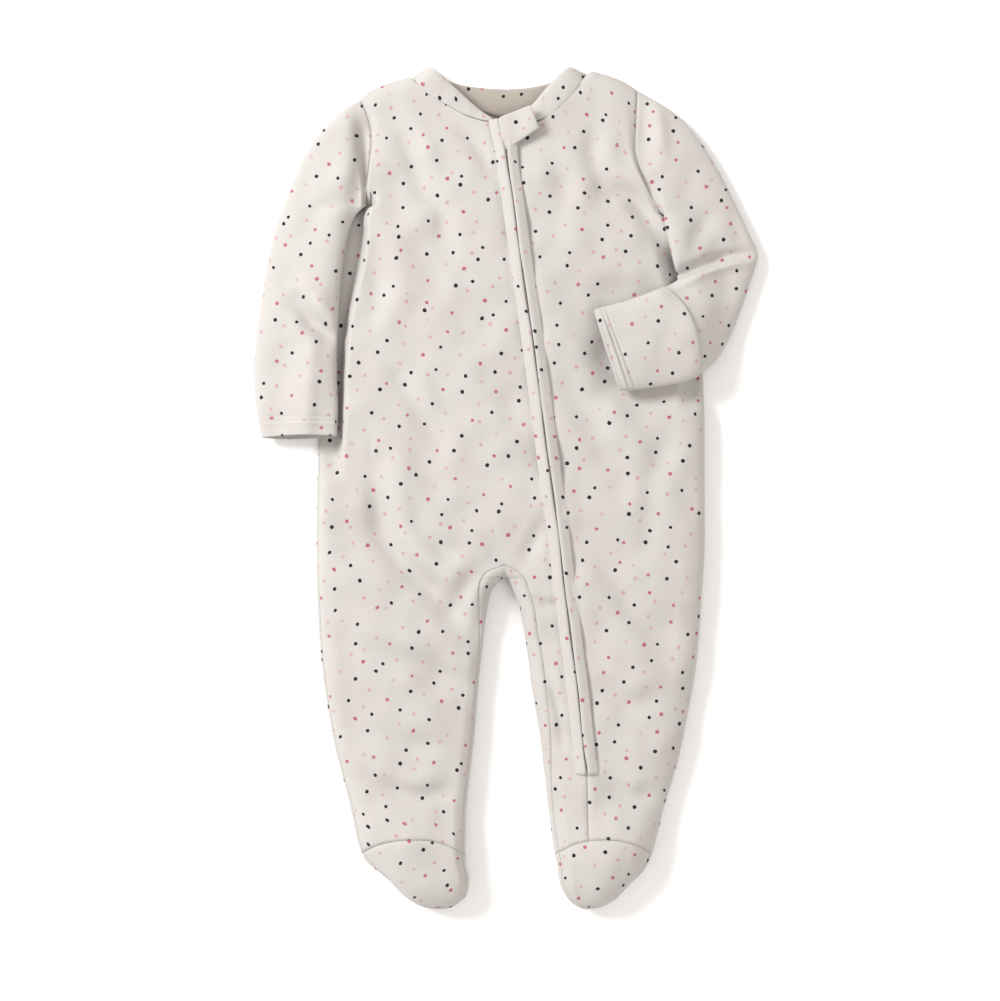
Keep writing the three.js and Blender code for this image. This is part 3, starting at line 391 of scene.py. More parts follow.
def open_bed(x, y):
    """Height of the front where no arm presses on it, without creases."""
    yy = clamp(y, TOE_END_Y, 282)
    low = np.where(y > 189, -96, right_edge(yy))
    high = np.where(y > 184, 100, left_edge(yy))
    torso = np.sin(np.pi * clamp((x - low) / (high - low), 0.04, 0.96))
    on_right = x < -0.6
    leg_low = np.where(on_right, low, left_inner(yy))
    leg_high = np.where(on_right, right_inner(yy), high)
    leg_crown = np.sin(np.pi * clamp((x - leg_low) / (leg_high - leg_low), 0.06, 0.94))
    crown = mix(torso, leg_crown, ease(-10, -110, y))
    full = loft(yy) * (0.8 + 0.2 * crown)
    under_forearm = ease(50, 66, y) * (1 - ease(128, 146, y)) * ease(45, 70, x)
    return full - 4.5 * under_forearm


def bed(x, y):
    """Height of the front away from its rolled edges, without creases."""
    return mix(open_bed(x, y), BRIM_HEIGHT, pressed(x, y))


def bed_at(x, y):
    return float(bed(np.float64(x), np.float64(y)))


def front_height(x, y):
    """Height of the front with its creases and soft swell."""
    folds = 2.1 * relief(x, y, FRONT_CREASES) + 1.8 * softness(x, y, 3)
    at_neck = 1 - ease(225, 246, y)
    beside_zip = np.abs(x - zip_line(y)) - LIP_WIDTH - 0.9
    stitched = 0.4 * np.exp(-(beside_zip / 1.5) ** 2) * ease(ZIP_END_Y - 6, ZIP_END_Y, y)
    below_zip = 0.8 * np.exp(-((x - zip_line(y)) / 2.2) ** 2) * (1 - ease(SEAM_START_Y, ZIP_END_Y, y))
    below_zip = below_zip * ease(TOE_SEAM_Y - 8, TOE_SEAM_Y, y)
    return bed(x, y) + folds * (1 - pressed(x, y)) * mix(0.35, 1, at_neck) - stitched - below_zip


def back_height(x, y):
    """How far the back lifts off the surface in its creases."""
    raised = relief(x, y, BACK_CREASES) + softness(x, y, 8)
    return np.maximum(raised + 0.35, 0) * 0.8


# Columns across the body, and the fine parts between them; the ones beside the zip are narrow
FLAT_COLUMNS = 3
RIGHT_COLUMNS = 11
STRIP_COLUMNS = 6
HALF_COLUMNS = RIGHT_COLUMNS + STRIP_COLUMNS
LEFT_COLUMNS = 9
ZIP_MARGIN = 8
RIGHT_PARTS = [2, 2, 3, 12, 12, 12, 12, 7, 2, 2]
STRIP_PARTS = [2, 2, 5, 7, 7, 6]
LEFT_PARTS = [6, 11, 11, 11, 11, 3, 3, 3]
EDGE_ANGLES = np.radians([0, 30, 60, 90])
BRIM_ANGLES = np.radians([0, 45, 90, 90])


def edge_columns(width, press, foot):
    """Reach and lift of the columns of a rolled edge; a margin under an arm is pressed flat."""
    turn = mix(EDGE_ANGLES, BRIM_ANGLES, press)
    reach = mix(width, BRIM_ROLL, press) * (1 - np.cos(turn))
    reach[3] = mix(reach[3], foot, press)
    return reach, np.sin(turn)


def inner_turns(reach, radius):
    """Angles round an inner leg's roll of the open cloth, the seam, half way and the edge."""
    seam = math.acos(1 - min(reach / radius, 0.85))
    return np.array([math.pi / 2, seam, seam / 2, 0])


def right_offsets(y):
    """Columns across the wearer's right half and the strip inside the zip, at one level."""
    outer = float(right_edge(y))
    inner = float(middle(y) if y > CROTCH_Y else right_inner(y))
    strip = inner if y > CROTCH_Y else float(left_inner(y))
    at_zip = float(zip_line(y) - slot_half(y))
    width = inner - outer
    margin = min(ZIP_MARGIN, 0.3 * (at_zip - strip))
    reach, lift = edge_columns(min(roll(y, 0), 0.42 * width), press_right(y), foot_right(y))
    reaches = float(inner_seams(y, 0)), float(inner_seams(y, 1))
    leg_roll = roll(y, 1) * mix(1, 0.68, ease(-84, -120, y))
    right_roll = min(max(leg_roll, SEAM_ROOM * reaches[0]), 0.42 * width)
    strip_roll = min(max(roll(y, 1), SEAM_ROOM * reaches[1]), 0.6 * (at_zip - strip - margin))
    inwards = inner_turns(reaches[0], right_roll)
    outwards = inner_turns(reaches[1], strip_roll)[2::-1]
    flats = np.arange(1, FLAT_COLUMNS + 1) / (FLAT_COLUMNS + 1)
    across = np.concatenate([
        outer + reach,
        mix(outer + reach[3], inner - right_roll, flats),
        inner - right_roll * (1 - np.cos(inwards)),
        strip + strip_roll * (1 - np.cos(outwards)),
        [mix(strip + strip_roll, at_zip - margin, 0.5), at_zip - margin, at_zip],
    ])
    lifts = np.concatenate([lift, np.ones(FLAT_COLUMNS), np.sin(inwards), np.sin(outwards), [1, 1, 1]])
    return across, lifts, inner, strip


def left_offsets(y):
    at_zip = float(zip_line(y) + slot_half(y))
    outer = float(left_edge(y))
    reach, lift = edge_columns(min(roll(y, 2), 0.6 * (outer - at_zip)), press_left(y), FOOT_LEFT)
    flats = np.arange(0, FLAT_COLUMNS + 1) / (FLAT_COLUMNS + 1)
    margin = min(ZIP_MARGIN, 0.3 * (outer - reach[3] - at_zip))
    open_cloth = mix(at_zip + margin, outer - reach[3], flats)
    across = np.concatenate([[at_zip], open_cloth, outer - reach[::-1]])
    return across, np.concatenate([np.ones(FLAT_COLUMNS + 2), lift[::-1]])


def edge_seam(x, y):
    """Height of the seam line on a rolled edge."""
    return SEAM_SHARE * bed_at(x, y)


def valley(y):
    """How far the front has turned down over the crotch's rim: 1 where the legs part."""
    turned = clamp((VALLEY_Y - y) / (VALLEY_Y - CROTCH_Y))
    return 1 - math.sqrt(1 - turned ** 2)


def toe_lift(y):
    return math.sqrt(1 - clamp((TOE_CURVE_Y - y) / (TOE_CURVE_Y - TOE_END_Y)) ** 2)


def row_below_armpit(y):
    """Control points across one level: x, y, lift and seam height, and the strip's own edge."""
    across, lifts, inner, strip = right_offsets(y)
    left_across, left_lifts = left_offsets(y)
    closed, toe = valley(y), toe_lift(y)

    def arch(x):
        on_right = x <= inner
        low = np.where(on_right, across[0], strip)
        high = np.where(on_right, inner, left_across[-1])
        off = np.abs(2 * clamp((x - low) / np.maximum(high - low, 1e-6)) - 1) ** 2.5
        return 11 * off * (ease(-205, TOE_SEAM_Y, y) - ease(TOE_SEAM_Y, -266, y))

    seam_right = edge_seam(across[0], y)
    seam_inner = edge_seam(inner, min(y, CROTCH_Y))
    seam_left = edge_seam(left_across[-1], y)
    column = np.arange(HALF_COLUMNS)
    seam = np.where(
        column >= RIGHT_COLUMNS,
        mix(seam_inner, seam_left, clamp((column - 13) / 3)),
        mix(seam_right, seam_inner, clamp((column - 3) / 4)),
    )
    lift = np.where(column > 6, mix(1, lifts, closed), lifts) * toe
    half = np.column_stack([across, y - arch(across), lift, seam])
    left_seam = np.full(LEFT_COLUMNS, seam_left)
    left = np.column_stack([left_across, y - arch(left_across), left_lifts * toe, left_seam])
    strip_arch = float(arch(np.float64(strip + 0.001)))
    strip_point = [strip, y - strip_arch, (1 - closed) * toe, seam_inner]
    return half, left, np.array(strip_point)


def patch(top, bottom, start, end):
    """Coons patch between four plan curves."""
    corners = [top(0), top(1), bottom(0), bottom(1)]

    def point(a, b):
        sides = (1 - b) * top(a) + b * bottom(a) + (1 - a) * start(b) + a * end(b)
        ends = (1 - b) * mix(corners[0], corners[1], a) + b * mix(corners[2], corners[3], a)
        return sides - ends

    return point


def shares(values):
    return (values - values[0]) / (values[-1] - values[0])


def zip_edge(side):
    def point(share):
        y = mix(ZIP_TOP_Y, ARMPIT_ZIP_Y, share)
        return np.array([float(zip_line(y)) + side * ZIP_SLOT, y])
    return point


def straight(a, b):
    return lambda share: mix(np.array(a, dtype=float), np.array(b, dtype=float), share)


armpit_half, armpit_lifts, _, _ = right_offsets(ARMPIT_ZIP_Y)
armpit_left, armpit_left_lifts = left_offsets(ARMPIT_ZIP_Y)
chest_right = patch(
    joined(plan_curve(RIGHT_SHOULDER), plan_curve(RIGHT_NECKLINE), NECK_SHARE_RIGHT),
    straight(RIGHT_ARMHOLE[-1], zip_edge(-1)(1)),
    plan_curve(RIGHT_ARMHOLE),
    zip_edge(-1),
)
chest_left = patch(
    joined(plan_curve(LEFT_NECKLINE), plan_curve(LEFT_SHOULDER), NECK_SHARE_LEFT),
    straight(zip_edge(1)(1), LEFT_ARMHOLE[-1]),
    zip_edge(1),
    plan_curve(LEFT_ARMHOLE),
)


def chest_row(step):
    """Control points at one level of the chest: step 0 is the shoulder, the last one the armpits."""
    angle = math.pi * step / ARMHOLE_STEPS
    share = (1 - math.cos(angle)) / 2
    ring = max(math.sin(angle), 0.0) ** 0.8
    rolled = math.sqrt(1 - (1 - clamp(share * ARMPIT_DROP / SHOULDER_ROLL)) ** 2)
    to_shape = ease(0, 0.9, share)

    def place(shape, below, top_share, outer, on_shoulder, lifts):
        count = len(below)
        column = np.arange(count)
        edge = shape(0 if outer == 0 else 1, share)
        a = mix(top_share, below, to_shape)
        plan = np.array([shape(value, share) for value in a])
        edge_lift = np.minimum(mix(lifts, 1, 1 - mix(1 - ring, 1, ease(0.75, 1, share))), 1)
        sinking = float(ease(0.04, 0.3, share) * (1 - ease(0.72, 1, share)))
        sunk = 1 - (ARMHOLE_DIP if outer == 0 else ARMHOLE_DIP_LEFT) * sinking
        lift = np.where(column == outer, ring * sunk, edge_lift * mix(1, rolled, on_shoulder))
        return np.column_stack([plan, lift, np.full(count, edge_seam(edge[0], edge[1]))])

    c = np.arange(HALF_COLUMNS)
    top_half = np.where(
        c <= 5, NECK_SHARE_RIGHT * c / 5, mix(NECK_SHARE_RIGHT, 1, (c - 5) / (HALF_COLUMNS - 6)),
    )
    d = np.arange(LEFT_COLUMNS)
    top_left = np.where(
        d <= 4, NECK_SHARE_LEFT * d / 4, mix(NECK_SHARE_LEFT, 1, (d - 4) / (LEFT_COLUMNS - 5)),
    )
    lifts = np.where(c > 6, 1, armpit_lifts)
    half = place(chest_right, shares(armpit_half), top_half, 0, 1 - ease(4, 6, c), lifts)
    left = place(chest_left, shares(armpit_left), top_left, LEFT_COLUMNS - 1, ease(3, 5, d), armpit_left_lifts)
    return half, left, half[RIGHT_COLUMNS - 1].copy()


def levels(start, end, cell=CELL):
    count = max(int(round(abs(start - end) / cell)), 1)
    return list(np.linspace(start, end, count, endpoint=False))


def body_rows():
    """All levels of the body: control points, y label, and how far the armhole or crotch has closed."""
    rows = []
    for step in np.linspace(0, ARMHOLE_STEPS, ARMHOLE_STEPS * STEP_PARTS + 1):
        share = (1 - math.cos(math.pi * step / ARMHOLE_STEPS)) / 2
        joined_edge = float(ease(0.7, 1, share))
        rows.append({"row": chest_row(step), "y": 262 - share * ARMPIT_DROP, "edge": joined_edge})
    last = rows[-1]["row"]
    first = row_below_armpit(180)
    for k in (1, 2, 3):
        between = tuple(mix(a, b, k / 4) for a, b in zip(last, first))
        rows.append({"row": between, "y": mix(ARMPIT_ZIP_Y, 180, k / 4), "edge": 1.0})
    stops = [
        (180, CELL), (BRIDGE_Y, 0.8), (CROTCH_Y, 1.1), (-82, CELL), (ZIP_END_Y, CELL), (SEAM_START_Y, CELL),
        (HEEL_Y, CELL), (TOE_SEAM_Y, CELL), (TOE_CURVE_Y, CELL),
    ]
    lower = [y for (a, cell), (b, _) in zip(stops, stops[1:]) for y in levels(a, b, cell)]
    turns = np.linspace(0, math.pi / 2, 15)
    lower += list(TOE_CURVE_Y - (TOE_CURVE_Y - TOE_END_Y) * np.sin(turns))
    for y in lower:
        rows.append({"row": row_below_armpit(y), "y": y, "edge": 1.0})
    return rows


def refine(points, before, after, parts):
    """Finer points along control points, which come with one more beyond each end."""
    around = np.vstack([before, points, after])
    size = np.hypot(np.diff(around[:, 0]), np.diff(around[:, 2]) * 12) + 1e-3
    t = np.concatenate([[0], np.cumsum(size)])
    slope = (around[2:] - around[:-2]) / (t[2:] - t[:-2])[:, None]
    fine = []
    for i, count in enumerate(parts):
        width = t[i + 2] - t[i + 1]
        s = (np.arange(count) / count)[:, None]
        bend = s * s * (3 - 2 * s)
        p, q = points[i], points[i + 1]
        m, n = slope[i] * width, slope[i + 1] * width
        fine.append(mix(p, q, bend) + m * s * (1 - s) ** 2 - n * s * s * (1 - s))
    return np.vstack([*fine, points[-1]])


def mirrored(point):
    return point * np.array([1, 1, -1, 1])


def fine_lanes(entry):
    """One level of the body as fine points of the right lane, the strip lane and the left lane."""
    half, left, strip_edge = entry["row"]
    y, edge = entry["y"], entry["edge"]
    right = half[:RIGHT_COLUMNS]
    strip = half[RIGHT_COLUMNS:]
    closed = float(valley(y))
    strip_start = right[-1] if y > CROTCH_Y + 1e-6 else strip_edge
    outer = mix(2 * right[0] - right[1], mirrored(right[1]), edge)
    meet = mix(strip[0], mirrored(right[-2]), closed)
    fine_right = refine(right, outer, meet, RIGHT_PARTS)
    lane = np.vstack([strip_start, strip])
    meet = mix(right[-2], mirrored(strip[0]), closed)
    fine_strip = refine(lane, meet, 2 * strip[-1] - strip[-2], STRIP_PARTS)
    outer = mix(2 * left[-1] - left[-2], mirrored(left[-2]), edge)
    fine_left = refine(left, 2 * left[0] - left[1], outer, LEFT_PARTS)
    return fine_right, fine_strip, fine_left


rows = body_rows()
row_y = np.array([entry["y"] for entry in rows])
lanes = [np.array(lane) for lane in zip(*(fine_lanes(entry) for entry in rows))]
RIGHT, STRIP, LEFT = 0, 1, 2


def top_points(lane):
    x, y, lift, seam = np.moveaxis(lane, -1, 0)
    lift = clamp(lift)
    return np.stack([x, y, mix(seam, front_height(x, y), lift)], axis=-1)


def neck_rise(x, y):
    """The back's neckline lies higher than the front's."""
    return BACK_NECK_RISE * ease(236, 246, y) * ease(-64, -30, x) * (1 - ease(25, 54, x))


def bottom_points(lane):
    x, y, lift, seam = np.moveaxis(lane, -1, 0)
    lift = clamp(lift)
    z = mix(seam, back_height(x, y), lift)
    return np.stack([x, y + neck_rise(x, y), z], axis=-1)


def row_lengths(points):
    """Length of cloth along each row, from its first point."""
    steps = np.linalg.norm(np.diff(points, axis=1), axis=2)
    return np.concatenate([np.zeros((len(points), 1)), np.cumsum(steps, axis=1)], axis=1)


tops = [top_points(lane) for lane in lanes]
bottoms = [bottom_points(lane) for lane in lanes]


def extra_length(points):
    """Cloth that the fall of the toe takes up beyond its length in plan."""
    line = points[:, points.shape[1] // 2]
    steps = np.linalg.norm(np.diff(line, axis=0), axis=1) - np.abs(np.diff(line[:, 1]))
    steps[row_y[1:] > TOE_SEAM_Y] = 0
    return np.concatenate([[0], np.cumsum(steps)])


def body_prints():
    """Flat coordinates of the cloth for the three lanes, in front and behind."""
    below = row_y < CROTCH_Y
    along = [row_lengths(points) for points in tops]
    under = [row_lengths(points) for points in bottoms]
    strip_u = tops[STRIP][:, -1:, 0] - along[STRIP][:, -1:] + along[STRIP]
    gap = np.where(below, tops[STRIP][:, 0, 0] - tops[RIGHT][:, -1, 0], 0)
    right_u = strip_u[:, :1] - gap[:, None] - along[RIGHT][:, -1:] + along[RIGHT]
    left_u = tops[LEFT][:, :1, 0] + along[LEFT]
    right_back = right_u[:, :1] - under[RIGHT]
    strip_back = right_back[:, -1:] - gap[:, None] - under[STRIP]
    left_back = strip_back[:, -1:] - 2 * ZIP_SLOT - under[LEFT]
    result = []
    for us, points in (((right_u, strip_u, left_u), tops), ((right_back, strip_back, left_back), bottoms)):
        drop = extra_length(points[RIGHT])[:, None]
        result.append([np.stack([u, p[..., 1] - drop], axis=-1) for u, p in zip(us, points)])
    return result


class Skin:
    """The whole surface as one welded set of points, so that panels that meet share their seam lines."""

    def __init__(self):
        self.points, self.corners, self.prints, self.names = [], [], [], []
        self.count = 0

    def grid(self, points, prints, names, turned=False):
        rows_, columns = points.shape[:2]
        ids = self.count + np.arange(rows_ * columns).reshape(rows_, columns)
        self.points.append(points.reshape(-1, 3))
        self.count += rows_ * columns
        picks = (np.s_[:-1, :-1], np.s_[1:, :-1], np.s_[1:, 1:], np.s_[:-1, 1:])
        quads = np.stack([ids[pick] for pick in picks], axis=-1).reshape(-1, 4)
        flats = np.stack([prints[pick] for pick in picks], axis=-2).reshape(-1, 4, 2)
        if turned:
            quads, flats = quads[:, ::-1], flats[:, ::-1]
        self.corners.append(quads)
        self.prints.append(flats)
        shape = (rows_ - 1, columns - 1)
        self.names.append(np.broadcast_to(np.asarray(names, dtype=object), shape).reshape(-1))

    def weld(self):
        points = np.vstack(self.points)
        _, first, place = np.unique(
            np.round(points * 400).astype(np.int64), axis=0, return_index=True, return_inverse=True,
        )
        self.points = points[first]
        self.corners = place.reshape(-1)[np.vstack(self.corners)]
        self.prints = np.vstack(self.prints)
        self.names = np.concatenate(self.names)
        a, b, c, d = (self.points[self.corners[:, k]] for k in range(4))
        face_normals = np.cross(c - a, d - b)
        self.normals = np.zeros_like(self.points)
        for k in range(4):
            np.add.at(self.normals, self.corners[:, k], face_normals)
        self.normals /= np.maximum(np.linalg.norm(self.normals, axis=1), 1e-9)[:, None]
        flat = face_normals / np.maximum(np.linalg.norm(face_normals, axis=1), 1e-9)[:, None]
        self.spread = np.ones(len(self.points))
        for k in range(4):
            facing = np.einsum("ij,ij->i", flat, self.normals[self.corners[:, k]])
            np.minimum.at(self.spread, self.corners[:, k], facing)
        return self


def border_edges(corners, count):
    """Edges that only one face uses, each in the direction that its face has."""
    start = corners.reshape(-1)
    end = np.roll(corners, -1, axis=1).reshape(-1)
    real = start != end
    start, end = start[real], end[real]
    alone = ~np.isin(start * count + end, end * count + start)
    return np.column_stack([start[alone], end[alone]])


def make_mesh(name, points, faces, prints, near=None):
    """A piece in metres at the origin, with the print's flat coordinates as its UV map."""
    mesh = bpy.data.meshes.new(name)
    mesh.from_pydata((np.asarray(points) * MM).tolist(), [], faces)
    mesh.update()
    layer = mesh.uv_layers.new(name="cloth")
    layer.data.foreach_set("uv", (np.asarray(prints, dtype=np.float32) * MM).reshape(-1))
    if near is not None:
        seam = mesh.attributes.new("near_seam", "FLOAT", "POINT")
        seam.data.foreach_set("value", np.asarray(near, dtype=np.float32))
    mesh.polygons.foreach_set("use_smooth", [True] * len(mesh.polygons))
    piece = bpy.data.objects.new(name, mesh)
    bpy.context.collection.objects.link(piece)
    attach(piece, "root")
    return piece


def distances(points, segments):
    """How far each point is from the nearest of some short segments."""
    ends = np.concatenate([mix(segments[:, 0], segments[:, 1], share) for share in (0, 0.33, 0.67)])
    tree = kdtree.KDTree(len(ends))
    for index, point in enumerate(ends):
        tree.insert(point, index)
    tree.balance()
    return np.array([tree.find(point)[2] for point in points])


def shell(name, skin, chosen, shift=(0, 0)):
    """A thin wall of cloth over some faces of the skin, its edge drawn in and turned down at the seams."""
    corners, flats = skin.corners[chosen], skin.prints[chosen] + np.array(shift)
    edges = border_edges(corners, len(skin.points))
    inward = np.zeros_like(skin.points)
    along = skin.points[edges[:, 1]] - skin.points[edges[:, 0]]
    for k in (0, 1):
        ids = edges[:, k]
        side = np.cross(skin.normals[ids], along)
        side /= np.maximum(np.linalg.norm(side, axis=1), 1e-9)[:, None]
        np.add.at(inward, ids, side)
    size = np.linalg.norm(inward, axis=1)
    on_edge = size > 1e-9
    inward[on_edge] /= size[on_edge][:, None]
    used = np.unique(corners)
    place = np.zeros(len(skin.points), dtype=np.int64)
    place[used] = np.arange(len(used))
    normal = skin.normals[used]
    outer = skin.points[used] + inward[used] * EDGE_DRAW
    outer -= normal * (on_edge[used] * EDGE_SINK)[:, None]
    thin = clamp(0.1 + skin.spread[used], 0.3, 1)[:, None] * CLOTH
    inner = outer - normal * thin + normal * (on_edge[used] * EDGE_SINK * 0.5)[:, None]
    points = np.vstack([outer, inner])
    points[:, 2] = np.maximum(points[:, 2], 0)
    near = np.concatenate([distances(outer, skin.points[edges].reshape(-1, 2, 3))] * 2)
    count = len(used)
    faces, prints = [], []
    for face, flat in zip(place[corners].tolist(), flats.tolist()):
        keep = [k for k in range(4) if face[k] != face[k - 1]]
        if len(keep) < 3:
            continue
        faces.append([face[k] for k in keep])
        prints += [flat[k] for k in keep]
        faces.append([face[k] + count for k in reversed(keep)])
        prints += [flat[k] for k in reversed(keep)]
    flat_of = dict(zip(place[corners].reshape(-1).tolist(), flats.reshape(-1, 2).tolist()))
    for a, b in place[edges].tolist():
        faces.append([b, a, a + count, b + count])
        prints += [flat_of[b], flat_of[a], flat_of[a], flat_of[b]]
    return make_mesh(name, points, faces, prints, near)


def front_names(lane):
    """Panel of each cell of the front by lane; the back reaches round the rolled edges."""
    parts = (RIGHT_PARTS, STRIP_PARTS, LEFT_PARTS)[lane]
    column = np.repeat(np.arange(len(parts)), parts)[None, :]
    y = row_y[:-1][:, None] - 1e-6
    row = np.arange(len(row_y) - 1)[:, None]
    if lane == RIGHT:
        rim = ((column == 0) & (row >= ARMHOLE_STEPS * STEP_PARTS)) | ((column >= 8) & (y <= BRIDGE_Y))
    elif lane == STRIP:
        rim = (column <= 1) & (y <= BRIDGE_Y)
    else:
        rim = (column == LEFT_COLUMNS - 2) & (y <= TOE_SEAM_Y)
    side = "right" if lane == RIGHT else "left"
    front = "front_left" if lane == LEFT else "front_right"
    foot = y <= TOE_SEAM_Y
    last = y <= SOLE_RIM_Y
    names = np.where(foot, f"foot_upper_{side}", front).astype(object)
    names = np.where(rim, "back", names)
    return np.where(foot & (rim | last), f"sole_{side}", names)


def back_names(lane, columns):
    side = "right" if lane == RIGHT else "left"
    names = np.where(row_y[:-1] - 1e-6 <= HEEL_Y, f"sole_{side}", "back").astype(object)
    return np.broadcast_to(names[:, None], (len(row_y) - 1, columns - 1))


garment = Skin()
front_prints, back_prints = body_prints()
for lane in (RIGHT, STRIP, LEFT):
    garment.grid(tops[lane], front_prints[lane], front_names(lane))
garment.grid(bottoms[RIGHT], back_prints[RIGHT], back_names(RIGHT, bottoms[RIGHT].shape[1]), turned=True)
back_left = np.concatenate([bottoms[STRIP], bottoms[LEFT]], axis=1)
back_left_prints = np.concatenate([back_prints[STRIP], back_prints[LEFT]], axis=1)
garment.grid(back_left, back_left_prints, back_names(LEFT, back_left.shape[1]), turned=True)


right_table, left_table = through(RIGHT_SLEEVE), through(LEFT_SLEEVE)


def bed_height(x, y, lift, ring):
    """Height of what a sleeve rests on: the surface, or the body's margin and front."""
    from_right = x - right_edge(y)
    from_left = left_edge(y) - x
    margin = np.minimum(bed(x, y), BRIM_HEIGHT + 0.3)
    on_front = ease(10.5, 13, ring)
    under = np.where(x < 0, margin, mix(margin, open_bed(x, y), on_front))
    inside = np.where(
        x < 0,
        ease(-30, 0, from_right) * (1 - ease(204, 236, y)),
        mix(ease(-26, 0, from_left) * (1 - ease(180, 214, y)), ease(-26, 10, from_left), on_front),
    )
    return inside * (under + ARM_GAP + lift)


def right_loft(ring, share):
    return SLEEVE_LOFT + 1.5 * np.sin(np.pi * share) * (1 - ease(9, 14, ring))


def left_loft(ring, share):
    bend = np.exp(-((ring - LEFT_ELBOW_RING + 0.6) ** 2) / 0.9) * ease(0.15, 0.9, share)
    return SLEEVE_LOFT - 4.5 * bend


SLEEVES = {
    "sleeve_right": {
        "table": right_table, "bow": lambda ring: 5 * (1 - ease(0, 5, ring)), "loft": right_loft,
        "lift": lambda ring: (1.5 + FLAP_GAP) * ease(8.4, 9.6, ring), "cuff": RIGHT_CUFF_RING,
        "inner_slope": lambda ring: 0.36 + 0 * ring,
        "low_edge": lambda ring: ease(0.2, 1.5, ring) * (1 - ease(9, 13, ring)),
        "mouth": 1.2, "rows": [(12.95, 0.5), (12.7, 0.4)],
    },
    "sleeve_left": {
        "table": left_table, "bow": lambda ring: -3 * (1 - ease(0, 4, ring)), "loft": left_loft,
        "lift": lambda ring: 0 * ring, "cuff": LEFT_CUFF_RING,
        "inner_slope": lambda ring: mix(0.42, 0.7, ease(8, 11, ring)),
        "low_edge": lambda ring: 0 * ring,
        "mouth": 0.0, "rows": [(18.33, 1.1), (17.97, 0.9), (18.86, 0.5)],
    },
}
RING_STEPS = ARMHOLE_STEPS * STEP_PARTS
CUFF_PARTS = 13


def sleeve_surface(name, ring):
    """Points over the top and under a sleeve. ring has one row a ring, and may vary along it."""
    sleeve = SLEEVES[name]
    ring = np.broadcast_to(np.asarray(ring, dtype=float).reshape(len(ring), -1), (len(ring), RING_STEPS + 1))
    angle = np.pi * np.arange(RING_STEPS + 1)[None, :] / RING_STEPS
    share = (1 - np.cos(angle)) / 2
    half_turn = np.maximum(np.sin(angle), 0)
    side = half_turn ** 0.8
    slope = half_turn ** mix(0.8, sleeve["inner_slope"](ring), ease(0.5, 1, share))
    outer_x, outer_y, inner_x, inner_y = (sleeve["table"](ring, k) for k in range(4))
    dx, dy = inner_x - outer_x, inner_y - outer_y
    length = np.hypot(dx, dy)
    out = sleeve["bow"](ring) * 4 * share * (1 - share)
    x = outer_x + dx * share - dy / length * out
    y = outer_y + dy * share + dx / length * out
    lift = sleeve["lift"](ring)
    over_edge = np.where(x < 0, lift * (1 - ease(-9, 1, x - right_edge(y))), 0)
    base = bed_height(x, y, lift, ring) + over_edge
    high = base + sleeve["loft"](ring, share)
    fade = ease(0, 0.9, ring)
    folds = (relief(x, y, SLEEVE_CREASES) + softness(x, y, 5)) * fade + cuff_rows(ring, sleeve["rows"])
    seam = mix(base, high, SEAM_SHARE)
    inner_seam = base + mix(4.6, 2.2, ease(3, 6, ring))
    low_seam = mix(seam, inner_seam, sleeve["low_edge"](ring) * ease(0.5, 1, share))
    ahead = mouth_arch(sleeve, ring, share)
    top = np.stack([x, y + ahead, mix(low_seam, high + folds, slope)], axis=-1)
    bottom = np.stack([x, y - ahead, mix(low_seam, base, side)], axis=-1)
    return top, bottom


def cuff_rows(ring, rows_):
    """Sewn rows that pinch the cloth near a cuff, with a soft ridge beside each."""
    height = 0 * ring
    for place, depth in rows_:
        height = height - depth * np.exp(-((ring - place) / 0.075) ** 2)
        height = height + 0.6 * depth * np.exp(-((ring - place - 0.17) / 0.09) ** 2)
    return height


def mouth_arch(sleeve, ring, share):
    """Near a cuff's mouth the top layer draws back and the layer under it shows."""
    return sleeve["mouth"] * 4 * share * (1 - share) * ease(sleeve["cuff"] - 1.5, sleeve["cuff"], ring)


def armhole(column_of, lane):
    rows_ = np.s_[:RING_STEPS + 1]
    return tops[lane][rows_, column_of], bottoms[lane][rows_, column_of]


def flat_sleeve(top, bottom):
    """The print's flat coordinates: the plan, let out by the cloth that the rolled sides take up."""
    across = top[:, -1, :2] - top[:, 0, :2]
    across /= np.maximum(np.linalg.norm(across, axis=1), 1e-6)[:, None]
    results = []
    for points, anchor in ((top, top.shape[1] // 2), (bottom, None)):
        arc = row_lengths(points)
        plan = row_lengths(points * np.array([1, 1, 0]))
        if anchor is None:
            edge = results[0][:, :1]
            results.append(edge - across[:, None, :] * arc[..., None])
        else:
            spare = (arc - arc[:, anchor:anchor + 1]) - (plan - plan[:, anchor:anchor + 1])
            results.append(points[..., :2] + across[:, None, :] * spare[..., None])
    return results


def sleeve_rings(name, column_of, lane, per_ring):
    """A sleeve's top and underside, joined to the body's armhole at ring 0."""
    cuff = SLEEVES[name]["cuff"]
    rings = np.concatenate([
        np.linspace(0, cuff - 2, (cuff - 2) * per_ring, endpoint=False),
        np.linspace(cuff - 2, cuff, 2 * CUFF_PARTS + 1),
    ])
    top, bottom = sleeve_surface(name, rings)
    fade = (1 - ease(0, 1.4, rings))[:, None, None]
    hole_top, hole_bottom = armhole(column_of, lane)
    top += (hole_top - top[0]) * fade
    bottom += (hole_bottom - bottom[0]) * fade
    top[0], bottom[0] = hole_top, hole_bottom
    return top, bottom


def add_sleeve(name, column_of, lane, per_ring, turned):
    top, bottom = sleeve_rings(name, column_of, lane, per_ring)
    flat_top, flat_bottom = flat_sleeve(top, bottom)
    garment.grid(top, flat_top, name, turned)
    garment.grid(bottom, flat_bottom, name, not turned)


add_sleeve("sleeve_right", 0, RIGHT, 8, False)
add_sleeve("sleeve_left", -1, LEFT, 7, True)
garment.weld()
RING_SHARE = (1 - np.cos(np.pi * np.arange(RING_STEPS + 1) / RING_STEPS)) / 2
FLAP_RISE = FLAP_GAP + CLOTH


